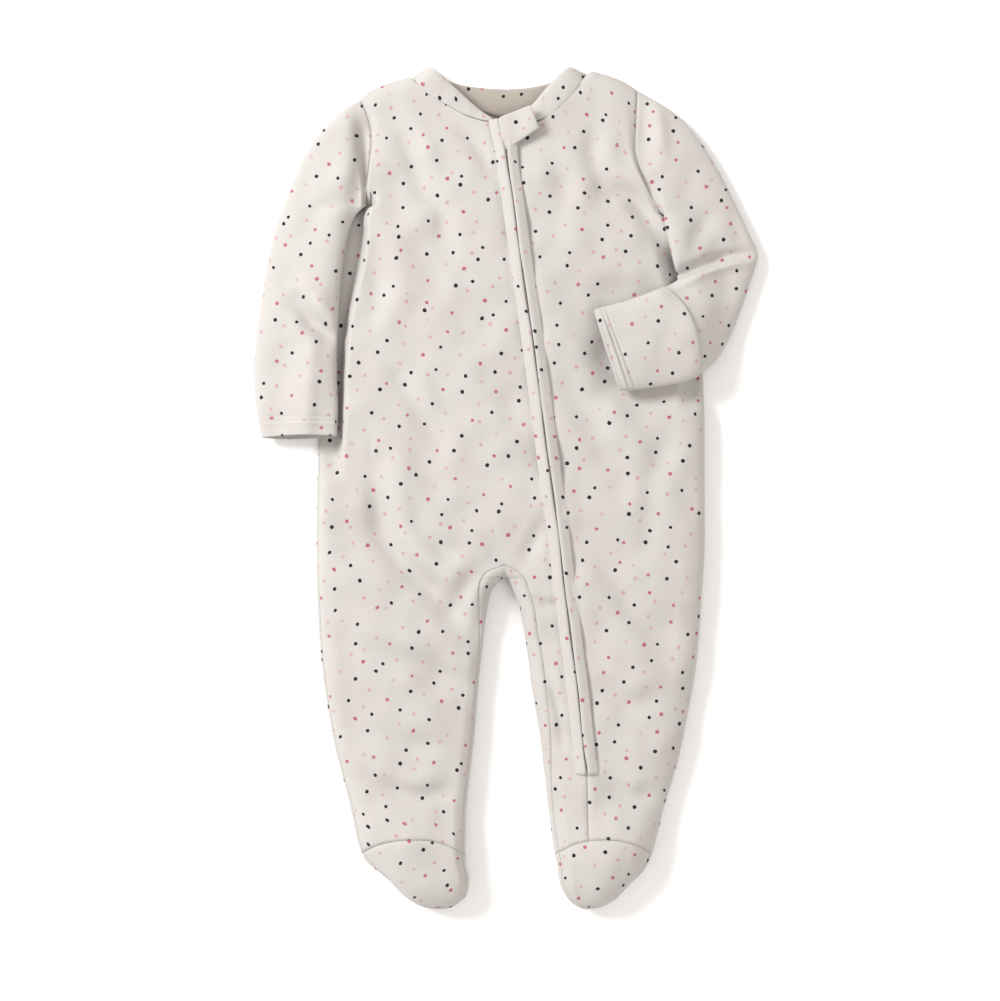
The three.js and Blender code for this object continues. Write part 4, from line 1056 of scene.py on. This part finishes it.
def flap(name, sleeve, first_rings, bow, on_top, turned, per_ring):
    """The mitten's second layer of cloth, from its fold to the cuff's end."""
    cuff = SLEEVES[sleeve]["cuff"]
    start = mix(first_rings[0], first_rings[1], RING_SHARE) - 4 * bow * RING_SHARE * (1 - RING_SHARE)
    count = int(round((cuff - start.mean()) * per_ring))
    rings = mix(start[None, :], float(cuff), np.linspace(0, 1, count + 1)[:, None])
    top, bottom = sleeve_surface(sleeve, rings)
    flat_top, flat_bottom = flat_sleeve(top, bottom)
    skin = Skin()
    points, prints = (top, flat_top) if on_top else (bottom, flat_bottom)
    rise = FLAP_RISE * np.sin(np.pi * np.arange(RING_STEPS + 1) / RING_STEPS) ** 0.35
    points = points + (rise if on_top else -rise)[:, None] * np.array([0, 0, 1])
    across = points[:, -1] - points[:, 0]
    across /= np.linalg.norm(across, axis=1)[:, None]
    apart = (0.5 * (1 - np.sin(np.pi * RING_SHARE)))[:, None] * np.sign(RING_SHARE - 0.5)[:, None]
    points = points + across[:, None, :] * apart
    skin.grid(points, prints, name, turned)
    skin.weld()
    return shell(name, skin, np.arange(len(skin.corners)), shift=(37, 18))


PANELS = [
    "back", "front_right", "front_left", "sleeve_right", "sleeve_left",
    "foot_upper_right", "foot_upper_left", "sole_right", "sole_left",
]
pieces = {}
for panel in PANELS:
    pieces[panel] = shell(panel + "_cloth", garment, np.flatnonzero(garment.names == panel))
pieces["mitten_left"] = flap("mitten_left_cloth", "sleeve_left", LEFT_FLAP_RINGS, 0.35, True, True, 11)
pieces["mitten_right"] = flap(
    "mitten_right_cloth", "sleeve_right", (RIGHT_FLAP_RING, RIGHT_FLAP_RING), 0, False, True, 8,
)
for panel, piece in pieces.items():
    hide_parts(panel)


def bar(name, sections, prints):
    """A smooth closed bar of cloth through cross-sections that all have the same number of points."""
    sections = np.asarray(sections, dtype=float)
    count, around = sections.shape[:2]
    faces, flats = [], []
    for i in range(count - 1):
        for k in range(around):
            n = (k + 1) % around
            a, b = i * around + k, i * around + n
            faces.append([a, b, b + around, a + around])
            flats += [prints[i][k], prints[i][k + 1], prints[i + 1][k + 1], prints[i + 1][k]]
    for i, turned in ((0, True), (count - 1, False)):
        ring = list(range(i * around, (i + 1) * around))
        flat = [prints[i][k] for k in range(around)]
        faces.append(ring[::-1] if turned else ring)
        flats += flat[::-1] if turned else flat
    return make_mesh(name, sections.reshape(-1, 3), faces, flats)


def arc_prints(sections, start=(0, 0)):
    """Flat coordinates of a bar: round each section, and along the bar."""
    sections = np.asarray(sections, dtype=float)
    looped = np.concatenate([sections, sections[:, :1]], axis=1)
    around = row_lengths(looped)
    centres = sections.mean(axis=1)
    along = np.concatenate([[0], np.cumsum(np.linalg.norm(np.diff(centres, axis=0), axis=1))])
    return np.stack([around + start[0], np.broadcast_to(along[:, None], around.shape) + start[1]], axis=-1)


LIP_TOP_Y = 246.4
LIP_END_Y = ZIP_END_Y - 3
LIP_PART = 0.3
LIP_HIGH = 3.1
# Cross-section of a zip lip: share of its width from the far edge, height over the panel
LIP_SECTION = [
    (0.0, 0.1), (0.015, 0.75), (0.07, 1.15), (0.18, 1.45), (0.34, 1.95), (0.52, 2.5), (0.7, 2.95),
    (0.84, 3.1), (0.93, 2.95), (0.985, 2.45), (1.0, 1.8), (0.985, 1.1), (0.93, 0.6), (0.6, 0.4), (0.2, 0.1),
]


def lip_edges(side, y):
    """Distances of a lip's far and near edges from the zip line; near the neck they part."""
    spread = float(ease(222, LIP_TOP_Y, y))
    far = LIP_WIDTH + (3.6 if side < 0 else 1.2) * spread
    near = LIP_PART + (3.6 if side < 0 else 3.2) * spread
    return side * far, side * near


def zip_lip(name, side, seed):
    count = int((LIP_TOP_Y - LIP_END_Y) / 2.2)
    sections = []
    rng = np.random.default_rng(seed)
    phases = rng.uniform(0, math.tau, 3)
    for y in np.linspace(LIP_TOP_Y, LIP_END_Y, count + 1):
        far, near = lip_edges(side, y)
        wave = 0.22 * math.sin(y / 17 + phases[0]) + 0.16 * math.sin(y / 7.3 + phases[1])
        puff = 1 + 0.07 * math.sin(y / 11 + phases[2]) + 0.05 * math.sin(y / 4.1 + phases[0])
        points = []
        for share, over in LIP_SECTION:
            x = float(zip_line(y)) + mix(far, near, share) + wave * share
            points.append([x, y, bed_at(x, y) + over * puff])
        sections.append(points if side > 0 else points[::-1])
    return bar(name, sections, arc_prints(sections, (11 * seed, 40)))


def zip_tape():
    """Woven tape under the panels, raised where the coil runs."""
    profile = [(-TAPE_HALF, 0), (-2.6, 0.1), (-2, 0.5), (2, 0.5), (2.6, 0.1), (TAPE_HALF, 0)]
    sections = []
    for y in np.linspace(242.5, SEAM_START_Y + 2, 120):
        under = []
        over = []
        for across, high in profile:
            x = float(zip_line(y)) + across
            z = bed_at(x, y) - 1.2 + high
            over.append([x, y, z])
            under.append([x, y, z - 0.8])
        sections.append(over[::-1] + under)
    return bar("zip_tape", sections, arc_prints(sections))


def repeated(name, template, places):
    """Many copies of a small modelled shape as one piece. places holds a matrix for each copy."""
    verts = np.array([vertex.co[:] for vertex in template.data.vertices])
    faces = [list(face.vertices) for face in template.data.polygons]
    points, all_faces = [], []
    for i, (turn, place) in enumerate(places):
        points.append(verts @ np.asarray(turn).T + np.asarray(place))
        all_faces += [[index + i * len(verts) for index in face] for face in faces]
    bpy.data.objects.remove(template, do_unlink=True)
    loops = sum(len(face) for face in all_faces)
    return make_mesh(name, np.vstack(points), all_faces, np.zeros((loops, 2)))


def deselect():
    for thing in bpy.context.selected_objects:
        thing.select_set(False)


def capsule(length, width, height):
    """A short rounded thread lying along X, in millimetres."""
    deselect()
    bpy.ops.mesh.primitive_uv_sphere_add(segments=6, ring_count=5, radius=0.5)
    thread = bpy.context.active_object
    bpy.ops.object.mode_set(mode="EDIT")
    bpy.ops.mesh.select_all(action="SELECT")
    bpy.ops.transform.rotate(value=math.pi / 2, orient_axis="Y", center_override=(0, 0, 0))
    bpy.ops.transform.resize(value=(length, width, height))
    bpy.ops.mesh.select_all(action="DESELECT")
    bpy.ops.object.mode_set(mode="OBJECT")
    return thread


def facing(along, up):
    """Turn that lays X along a direction, with Z as near as possible to another."""
    x = np.asarray(along, dtype=float)
    x = x / np.linalg.norm(x)
    y = np.cross(up, x)
    y /= max(np.linalg.norm(y), 1e-9)
    return np.column_stack([x, y, np.cross(x, y)])


def zip_teeth():
    places = []
    pitch = 1.5
    count = int((236 - ZIP_END_Y) / pitch)
    for i in range(count):
        y = 236 - i * pitch
        x = float(zip_line(y))
        z = bed_at(x, y) - 0.1
        slant = 0.22 if i % 2 else -0.22
        places.append((facing((1, slant, 0), (0, 0, 1)), (x, y, z)))
    return repeated("zip_coil", capsule(4.4, 1.0, 1.1), places)


def slider_body():
    """Moulded slider: a rounded wedge with a bridge over it, between the lips under the guard."""
    deselect()
    top_y, length = 243, 11
    middle_y = top_y - length / 2
    x = float(zip_line(middle_y))
    z = bed_at(x, middle_y)
    bpy.ops.mesh.primitive_cube_add(size=1, location=(0, 0, 0))
    slider = bpy.context.active_object
    bpy.ops.object.mode_set(mode="EDIT")
    bpy.ops.transform.resize(value=(6, length, 1.7))
    bpy.ops.transform.translate(value=(0, 0, 1.2))
    bpy.ops.mesh.select_all(action="DESELECT")
    bpy.ops.object.mode_set(mode="OBJECT")
    for face in slider.data.polygons:
        face.select = face.normal.y < -0.9
    bpy.ops.object.mode_set(mode="EDIT")
    bpy.ops.transform.resize(value=(0.62, 1, 0.9), center_override=(0, 0, 1.2))
    bpy.ops.mesh.select_all(action="DESELECT")
    bpy.ops.object.mode_set(mode="OBJECT")
    for face in slider.data.polygons:
        face.select = face.normal.z > 0.9
    bpy.ops.object.mode_set(mode="EDIT")
    bpy.ops.mesh.inset(thickness=1.4)
    bpy.ops.mesh.extrude_region_move(TRANSFORM_OT_translate={"value": (0, 0, 0.9)})
    bpy.ops.transform.resize(value=(0.7, 0.8, 1))
    bpy.ops.object.mode_set(mode="OBJECT")
    rounding = slider.modifiers.new("rounded", "BEVEL")
    rounding.width = 0.45
    rounding.segments = 3
    bpy.ops.object.modifier_apply(modifier="rounded")
    verts = np.array([vertex.co[:] for vertex in slider.data.vertices]) + np.array([x, middle_y, z])
    faces = [list(face.vertices) for face in slider.data.polygons]
    bpy.data.objects.remove(slider, do_unlink=True)
    loops = sum(len(face) for face in faces)
    piece = make_mesh("zip_slider_body", verts, faces, np.zeros((loops, 2)))
    for face in piece.data.polygons:
        face.use_smooth = len(face.vertices) == 4 and face.area < 4e-6
    return piece


def zip_guard():
    """A doubled tab of cloth that folds over the slider; its free edge curls up."""
    top_left, top_right = np.array([-5.7, 246.9]), np.array([16.0, 255.2])
    low_right, low_left = np.array([21.8, 239.6]), np.array([-1.8, 224.3])
    count = 22
    thick, bulge = 1.2, 0.35
    seat = bed_at(4, 240) + LIP_HIGH + 0.5
    share = np.linspace(0, 1, count + 1)
    a, b = np.meshgrid(share, share)
    corner = 0.05
    da, db = np.minimum(a, 1 - a), np.minimum(b, 1 - b)
    near_corner = clamp(1 - np.hypot(da, db) / corner)
    a2 = mix(a, 0.5, 0.04 * near_corner)
    b2 = mix(b, 0.5, 0.04 * near_corner)
    top = top_left + (top_right - top_left) * a2[..., None]
    low = low_left + (low_right - low_left) * a2[..., None]
    plan = mix(top, low, b2[..., None])
    rim = np.minimum(da, db)
    puffed = 1 - np.exp(-rim / 0.045)
    curl = 2.6 * ease(0.35, 1.0, a) * mix(0.35, 1, b) + 0.8 * np.sin(np.pi * b) * ease(0.1, 0.6, a)
    sag = -0.9 * (1 - ease(0, 0.28, a))
    mid = seat + curl + sag + 0.25 * np.sin(7 * a + 3 * b)
    upper = np.concatenate([plan, (mid + thick * 0.5 + bulge * puffed)[..., None]], axis=-1)
    lower = np.concatenate([plan, (mid - thick * 0.5 - 0.2 * puffed)[..., None]], axis=-1)
    print_shift = np.array([53, 21])
    flat = plan + print_shift
    skin = Skin()
    skin.grid(upper, flat, "guard", turned=False)
    skin.grid(lower, flat, "guard", turned=True)
    skin.weld()
    edges = border_edges(skin.corners, len(skin.points))
    faces = skin.corners.tolist()
    prints = skin.prints.reshape(-1, 2).tolist()
    pairs = {}
    for index, point in enumerate(skin.points):
        pairs.setdefault((round(point[0], 3), round(point[1], 3)), []).append(index)
    mate = {}
    for same in pairs.values():
        if len(same) == 2:
            mate[same[0]], mate[same[1]] = same[1], same[0]
    upper_z = skin.points[:, 2]
    for a_id, b_id in edges.tolist():
        if upper_z[a_id] > upper_z[mate[a_id]]:
            faces.append([b_id, a_id, mate[a_id], mate[b_id]])
            prints += [list(skin.points[k][:2] + print_shift) for k in (b_id, a_id, a_id, b_id)]
    piece = make_mesh("zip_guard_tab", skin.points, faces, prints)
    smooth = piece.modifiers.new("softened", "SUBSURF")
    smooth.levels = 1
    smooth.render_levels = 1
    return piece


def band_stations():
    """Outer and inner edges of the neckband, round the neck."""
    stations = []
    for table, on_front in ((BAND_FRONT_RIGHT, True), (BAND_BACK, False), (BAND_FRONT_LEFT, True)):
        for ox, oy, ix, iy, lift in table:
            seat = bed_at(ox, oy) - 1.9 if on_front else BAND_CLOTH + 0.1
            reach = BAND_GAP / math.hypot(ix - ox, iy - oy)
            stations.append([mix(ox, ix, reach), mix(oy, iy, reach), seat, ix, iy, seat + lift])
    return stations


# Cross-section of the neckband: share of its width from the seam, share of its thickness
BAND_SECTION = [
    (0.0, 0.5), (0.01, 0.72), (0.05, 0.86), (0.16, 1.0), (0.35, 1.12), (0.55, 1.2), (0.75, 1.15), (0.9, 1.0),
    (0.97, 0.8), (1.0, 0.5), (0.97, 0.2), (0.88, 0.02), (0.5, 0.0), (0.15, 0.0),
]


def neckband():
    stations = band_stations()
    path = through([(i, *station) for i, station in enumerate(stations)])
    count = (len(stations) - 1) * 6
    places = np.linspace(0, len(stations) - 1, count + 1)
    outer = np.column_stack([path(places, k) for k in range(3)])
    inner = np.column_stack([path(places, k) for k in range(3, 6)])
    along = np.gradient(outer + inner, axis=0)
    across = inner - outer
    normal = np.cross(across, along)
    normal /= np.linalg.norm(normal, axis=1)[:, None]
    rng = np.random.default_rng(21)
    phases = rng.uniform(0, math.tau, 4)
    length = np.concatenate([[0], np.cumsum(np.linalg.norm(np.diff(outer, axis=0), axis=1))])
    pucker = 0.16 * np.sin(length / 2.1 + phases[0]) + 0.12 * np.sin(length / 5.3 + phases[1])
    sections = []
    for i in range(count + 1):
        points = []
        for share, high in BAND_SECTION:
            swell = pucker[i] * math.sin(math.pi * share) if high > 0.5 else 0
            point = mix(outer[i], inner[i], share) + normal[i] * (BAND_CLOTH * high + swell)
            point[2] = max(point[2], 0.05)
            points.append(point)
        sections.append(points[::-1])
    return bar("neckband_cloth", sections, arc_prints(sections, (5, 9)))


trims = {
    "zip_placket_right": zip_lip("zip_lip_right", -1, 1),
    "zip_placket_left": zip_lip("zip_lip_left", 1, 2),
    "zip": zip_tape(),
    "neckband": neckband(),
    "zip_guard": zip_guard(),
    "zip_slider": slider_body(),
}
for node, piece in trims.items():
    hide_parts(node)
trims["coil"] = zip_teeth()


def spaced(line, pitch):
    """Points at an even pitch along a line in space, with the direction of the line at each."""
    line = np.asarray(line, dtype=float)
    length = np.concatenate([[0], np.cumsum(np.linalg.norm(np.diff(line, axis=0), axis=1))])
    places = np.arange(pitch / 2, length[-1], pitch)
    points = np.column_stack([np.interp(places, length, line[:, k]) for k in range(3)])
    ahead = np.column_stack([np.interp(places + 0.6, length, line[:, k]) for k in range(3)])
    behind = np.column_stack([np.interp(places - 0.6, length, line[:, k]) for k in range(3)])
    return points, ahead - behind


STITCH_PITCH = 2.9
STITCH_LENGTH = 2.2
THREAD_WIDTH = 0.42
THREAD_LIFT = 0.05


def stitch_line(name, line, seed):
    """A row of short threads along a line on the cloth."""
    points, along = spaced(line, STITCH_PITCH)
    rng = np.random.default_rng(seed)
    places = []
    for point, direction in zip(points, along):
        turn = facing(direction, (0, 0, 1))
        jitter = rng.normal(0, 0.06, 3)
        places.append((turn, point + turn[:, 2] * THREAD_LIFT + jitter * np.array([1, 1, 0])))
    strand = capsule(STITCH_LENGTH, THREAD_WIDTH, THREAD_WIDTH * 0.8)
    return repeated(name, strand, places)


def ring_line(sleeve, rings, raised):
    """A line across the top of a sleeve at a ring, without its rolled sides."""
    top, _ = sleeve_surface(sleeve, np.atleast_2d(rings))
    return top[0, 2:-3] + np.array([0, 0, raised])


# The seam of the left mitten runs just before its fold, and bows a little
mitten_bow = 1.4 * RING_SHARE * (1 - RING_SHARE)
mitten_seam = mix(LEFT_FLAP_RINGS[0] - 0.62, LEFT_FLAP_RINGS[1] - 0.8, RING_SHARE) - mitten_bow

# Rows of stitching across the sleeves. Columns: piece, sleeve, ring, height over the cloth, seed
STITCH_ROWS = [
    ("cuff_stitches_right", "sleeve_right", 12.95, 0, 6),
    ("cuff_stitches_right_2", "sleeve_right", 12.7, 0, 7),
    ("cuff_stitches_left", "sleeve_left", 18.33, FLAP_RISE, 8),
    ("cuff_stitches_left_2", "sleeve_left", 18.0, FLAP_RISE, 9),
    ("mitten_stitches_left", "sleeve_left", mitten_seam, 0, 10),
]
seams = [
    stitch_line(name, ring_line(sleeve, rings, raised), seed)
    for name, sleeve, rings, raised, seed in STITCH_ROWS
]


class Value:
    """A socket in a finish; arithmetic on it adds Math nodes."""

    def __init__(self, finish, socket):
        self.finish = finish
        self.socket = socket

    def other(self, name):
        """Another output of the same node."""
        return Value(self.finish, self.socket.node.outputs[name])

    def maths(self, operation, *values):
        return self.finish.add("ShaderNodeMath", {"operation": operation}, dict(enumerate(values)))

    def __add__(self, value):
        return self.maths("ADD", self, value)

    __radd__ = __add__

    def __sub__(self, value):
        return self.maths("SUBTRACT", self, value)

    def __rsub__(self, value):
        return self.maths("SUBTRACT", value, self)

    def __mul__(self, value):
        return self.maths("MULTIPLY", self, value)

    __rmul__ = __mul__

    def __truediv__(self, value):
        return self.maths("DIVIDE", self, value)

    def __lt__(self, value):
        return self.maths("LESS_THAN", self, value)

    def limited(self):
        return self.finish.add("ShaderNodeClamp", {}, {"Value": self})

    def whole(self):
        return self.maths("FLOOR", self)

    def remainder(self, value):
        return self.maths("MODULO", self, value)

    def wave(self, length):
        """A ripple along this value with the given length."""
        return self.maths("SINE", self * (math.tau / length))


class Finish:
    """A material with one Principled shader."""

    def __init__(self, name):
        self.material = bpy.data.materials.new(name)
        self.material.use_nodes = True
        self.nodes = self.material.node_tree.nodes
        self.links = self.material.node_tree.links
        self.shader = self.nodes["Principled BSDF"]

    def put(self, node, key, value):
        if isinstance(value, Value):
            self.links.new(value.socket, node.inputs[key])
        else:
            node.inputs[key].default_value = value

    def add(self, kind, settings, sockets, output=0):
        node = self.nodes.new(kind)
        for key, value in settings.items():
            setattr(node, key, value)
        for key, value in sockets.items():
            self.put(node, key, value)
        return Value(self, node.outputs[output])

    def surface(self, sockets):
        for key, value in sockets.items():
            self.put(self.shader, key, value)

    def blend(self, factor, first, second):
        sockets = {0: factor, 6: first, 7: second}
        return self.add("ShaderNodeMix", {"data_type": "RGBA"}, sockets, output=2)

    def noise(self, vector, scale, detail=2.0, roughness=0.5):
        sockets = {"Vector": vector, "Scale": scale, "Detail": detail, "Roughness": roughness}
        return self.add("ShaderNodeTexNoise", {}, sockets)


JERSEY = (0.492, 0.47, 0.456)
JERSEY_WARM = (0.476, 0.442, 0.414)
INK_BLACK = (0.008, 0.007, 0.01)
INK_ROSE = (0.36, 0.092, 0.14)
INK_PALE = (0.46, 0.285, 0.295)
DOT_SPACING = 0.0122
DOT_TURN = 0.46
DOT_RADIUS = 0.00124
DOT_BLUR = 0.00014
# Painted shade for the low cloth inside the back neck, behind the neckline
NECK_PAINTED_SHADE = (0.375, 0.33, 0.29)
# Painted shade that darkens the cloth along its seams
SEAM_PAINTED_SHADE = (0.22, 0.195, 0.17)
WALE = 0.0011
COURSE = 0.0014
TAPE_RIB = 0.0009
NECK_EDGE_Y = 0.236
NECK_FLOOR_Z = 0.003
NECK_FADE = 0.006


def rgba(colour):
    return (*colour, 1.0)


def dotted_jersey(name, has_seams):
    """Soft brushed jersey with small scattered dots printed on it, with painted shade in the back neck and,
    with has_seams, along the seams.
    """
    cloth = Finish(name)
    flat = cloth.add("ShaderNodeUVMap", {"uv_map": "cloth"}, {})
    wobble = cloth.noise(flat, 420, 1.0)
    turned = cloth.add(
        "ShaderNodeMapping", {},
        {
            "Vector": flat, "Rotation": (0, 0, DOT_TURN), "Scale": [1 / DOT_SPACING] * 3,
            "Location": (40, 40, 0),
        },
    )
    cells = cloth.add(
        "ShaderNodeTexVoronoi", {"voronoi_dimensions": "2D"},
        {"Vector": turned, "Scale": 1.0, "Randomness": 0.72},
    )
    picks = cloth.add("ShaderNodeSeparateColor", {}, {0: cells.other("Color")})
    size = picks.other("Green")
    centre = cloth.add("ShaderNodeSeparateXYZ", {}, {0: cells.other("Position")})
    place = centre.whole() + centre.other("Y").whole() * 2
    swapped = (picks < 0.16) * 3
    kind = (place + swapped + 100).remainder(5)
    radius = DOT_RADIUS * (0.86 + size * 0.26) + (wobble - 0.5) * 0.0009
    reach = cells * DOT_SPACING
    ink = ((radius - reach) / (2 * DOT_BLUR) + 0.5).limited()
    rose = kind < 0.5
    black = ((kind < 1.5) - rose) + ((kind < 3.5) - (kind < 2.5))
    tone = cloth.noise(flat, 22, 3.0, 0.55)
    ground = cloth.blend(tone, rgba(JERSEY), rgba(JERSEY_WARM))
    place_at = cloth.add("ShaderNodeTexCoord", {}, {}, output="Object")
    at = cloth.add("ShaderNodeSeparateXYZ", {}, {0: place_at})
    # Painted shade: low cloth behind the neckline is blended towards a darker, warmer colour
    behind = ((at.other("Y") - NECK_EDGE_Y) / NECK_FADE).limited()
    painted_neck_shade = behind * (1 - (at.other("Z") - NECK_FLOOR_Z) / NECK_FADE).limited()
    ground = cloth.blend(painted_neck_shade, ground, rgba(NECK_PAINTED_SHADE))
    colour = cloth.blend(ink * (0.55 + 0.45 * picks.other("Blue")), ground, rgba(INK_PALE))
    colour = cloth.blend(ink * rose * (0.8 + 0.2 * picks.other("Blue")), colour, rgba(INK_ROSE))
    colour = cloth.blend(ink * black, colour, rgba(INK_BLACK))
    parts = cloth.add("ShaderNodeSeparateXYZ", {}, {0: flat})
    wales = parts.wave(WALE)
    courses = parts.other("Y").wave(COURSE)
    nap = cloth.noise(flat, 900, 3.0, 0.6)
    crumple = cloth.noise(flat, 150, 3.0, 0.55)
    height = wales * courses * 0.000012 + nap * 0.00012 + crumple * 0.00022
    if has_seams:
        seam = cloth.add("ShaderNodeAttribute", {"attribute_name": "near_seam"}, {}, output="Fac")
        open_cloth = ((seam - 0.05) / 0.6).limited()
        height = height + open_cloth * 0.0001
        # Painted shade: right at each seam the colour darkens a little, as shadow in the seam's groove
        seam_painted_shade = cloth.blend(0.9, rgba(SEAM_PAINTED_SHADE), colour)
        colour = cloth.blend(open_cloth, seam_painted_shade, colour)
    bump = cloth.add("ShaderNodeBump", {}, {"Height": height, "Distance": 1.0, "Strength": 0.8})
    cloth.surface({"Base Color": colour, "Roughness": 0.88 + nap * 0.08, "Normal": bump})
    cloth.surface({"Sheen Weight": 0.22, "Sheen Roughness": 0.55, "Specular IOR Level": 0.22})
    return cloth.material


def woven_tape():
    tape = Finish("woven_zip_tape")
    place = tape.add("ShaderNodeTexCoord", {}, {}, output="Object")
    parts = tape.add("ShaderNodeSeparateXYZ", {}, {0: place})
    rib = parts.other("Y").wave(TAPE_RIB)
    grain = tape.noise(place, 700, 2.0)
    bump = tape.add("ShaderNodeBump", {}, {"Height": rib * 0.00004 + grain * 0.00008, "Distance": 1.0})
    shade = tape.blend(grain, rgba((0.70, 0.655, 0.60)), rgba((0.78, 0.74, 0.69)))
    tape.surface({"Base Color": shade, "Roughness": 0.62 + grain * 0.1, "Normal": bump})
    return tape.material


def enamel():
    paint = Finish("slider_enamel")
    place = paint.add("ShaderNodeTexCoord", {}, {}, output="Object")
    grain = paint.noise(place, 300, 2.0)
    shade = paint.blend(grain, rgba((0.74, 0.71, 0.66)), rgba((0.8, 0.77, 0.73)))
    paint.surface({"Base Color": shade, "Roughness": 0.3 + grain * 0.12})
    paint.surface({"Coat Weight": 0.3, "Specular IOR Level": 0.5})
    return paint.material


def thread():
    strand = Finish("sewing_thread")
    place = strand.add("ShaderNodeTexCoord", {}, {}, output="Object")
    twist = strand.noise(place, 1500, 1.0)
    shade = strand.blend(twist, rgba((0.52, 0.49, 0.46)), rgba((0.60, 0.57, 0.54)))
    strand.surface({"Base Color": shade, "Roughness": 0.6 + twist * 0.15})
    strand.surface({"Sheen Weight": 0.2})
    return strand.material


jersey = dotted_jersey("printed_jersey", True)
trim_jersey = dotted_jersey("trim_jersey", False)
for piece in pieces.values():
    piece.data.materials.append(jersey)
for node, piece in trims.items():
    made = {"zip": woven_tape, "coil": woven_tape, "zip_slider": enamel}.get(node)
    piece.data.materials.append(made() if made else trim_jersey)
for piece in seams:
    piece.data.materials.append(thread())


def pale_floor():
    paper = Finish("pale_floor")
    place = paper.add("ShaderNodeTexCoord", {}, {}, output="Object")
    grain = paper.noise(place, 60, 2.0)
    paper.surface({"Base Color": paper.blend(grain, rgba((0.93, 0.93, 0.93)), rgba((0.95, 0.95, 0.95)))})
    paper.surface({"Specular IOR Level": 0.1})
    return paper.material


def set_camera():
    data = bpy.data.cameras.new("camera")
    data.lens = CAMERA_LENS
    data.sensor_width = CAMERA_SENSOR
    camera = bpy.data.objects.new("camera", data)
    camera.location = [value * MM for value in CAMERA_PLACE]
    bpy.context.collection.objects.link(camera)
    bpy.context.scene.camera = camera


set_camera()

# Soft studio lights, aimed at the garment. Columns: name, place in metres, size, watts
LIGHTS = [
    ("window_light", (-2.2, 1.3, 1.8), 1.2, 105),
    ("fill_light", (1.4, -0.6, 3.0), 2.0, 26),
]
LIGHT_COLOUR = (0.965, 0.985, 1.0)
ROOM_COLOUR = (1, 0.955, 0.905)
ROOM_STRENGTH = 0.76
FLOOR_SIZE = 6
FLOOR_DROP = 0.0004


def soft_light(name, place, size, watts):
    data = bpy.data.lights.new(name, "AREA")
    data.shape = "DISK"
    data.size = size
    data.energy = watts
    data.color = LIGHT_COLOUR
    light = bpy.data.objects.new(name, data)
    light.location = place
    aim = -Vector(place)
    light.rotation_euler = aim.to_track_quat("-Z", "Y").to_euler()
    bpy.context.collection.objects.link(light)


for row in LIGHTS:
    soft_light(*row)
world = bpy.data.worlds.new("studio")
bpy.context.scene.world = world
world.use_nodes = True
room = world.node_tree.nodes["Background"]
room.inputs["Color"].default_value = rgba(ROOM_COLOUR)
room.inputs["Strength"].default_value = ROOM_STRENGTH
bpy.context.scene.view_settings.view_transform = "Standard"
bpy.context.scene.view_settings.look = "None"

deselect()
bpy.ops.mesh.primitive_plane_add(size=FLOOR_SIZE, location=(0, 0, -FLOOR_DROP))
floor = bpy.context.active_object
floor.name = "floor"
floor.data.materials.append(pale_floor())
floor.data.transform(floor.matrix_world)
floor.matrix_world.identity()
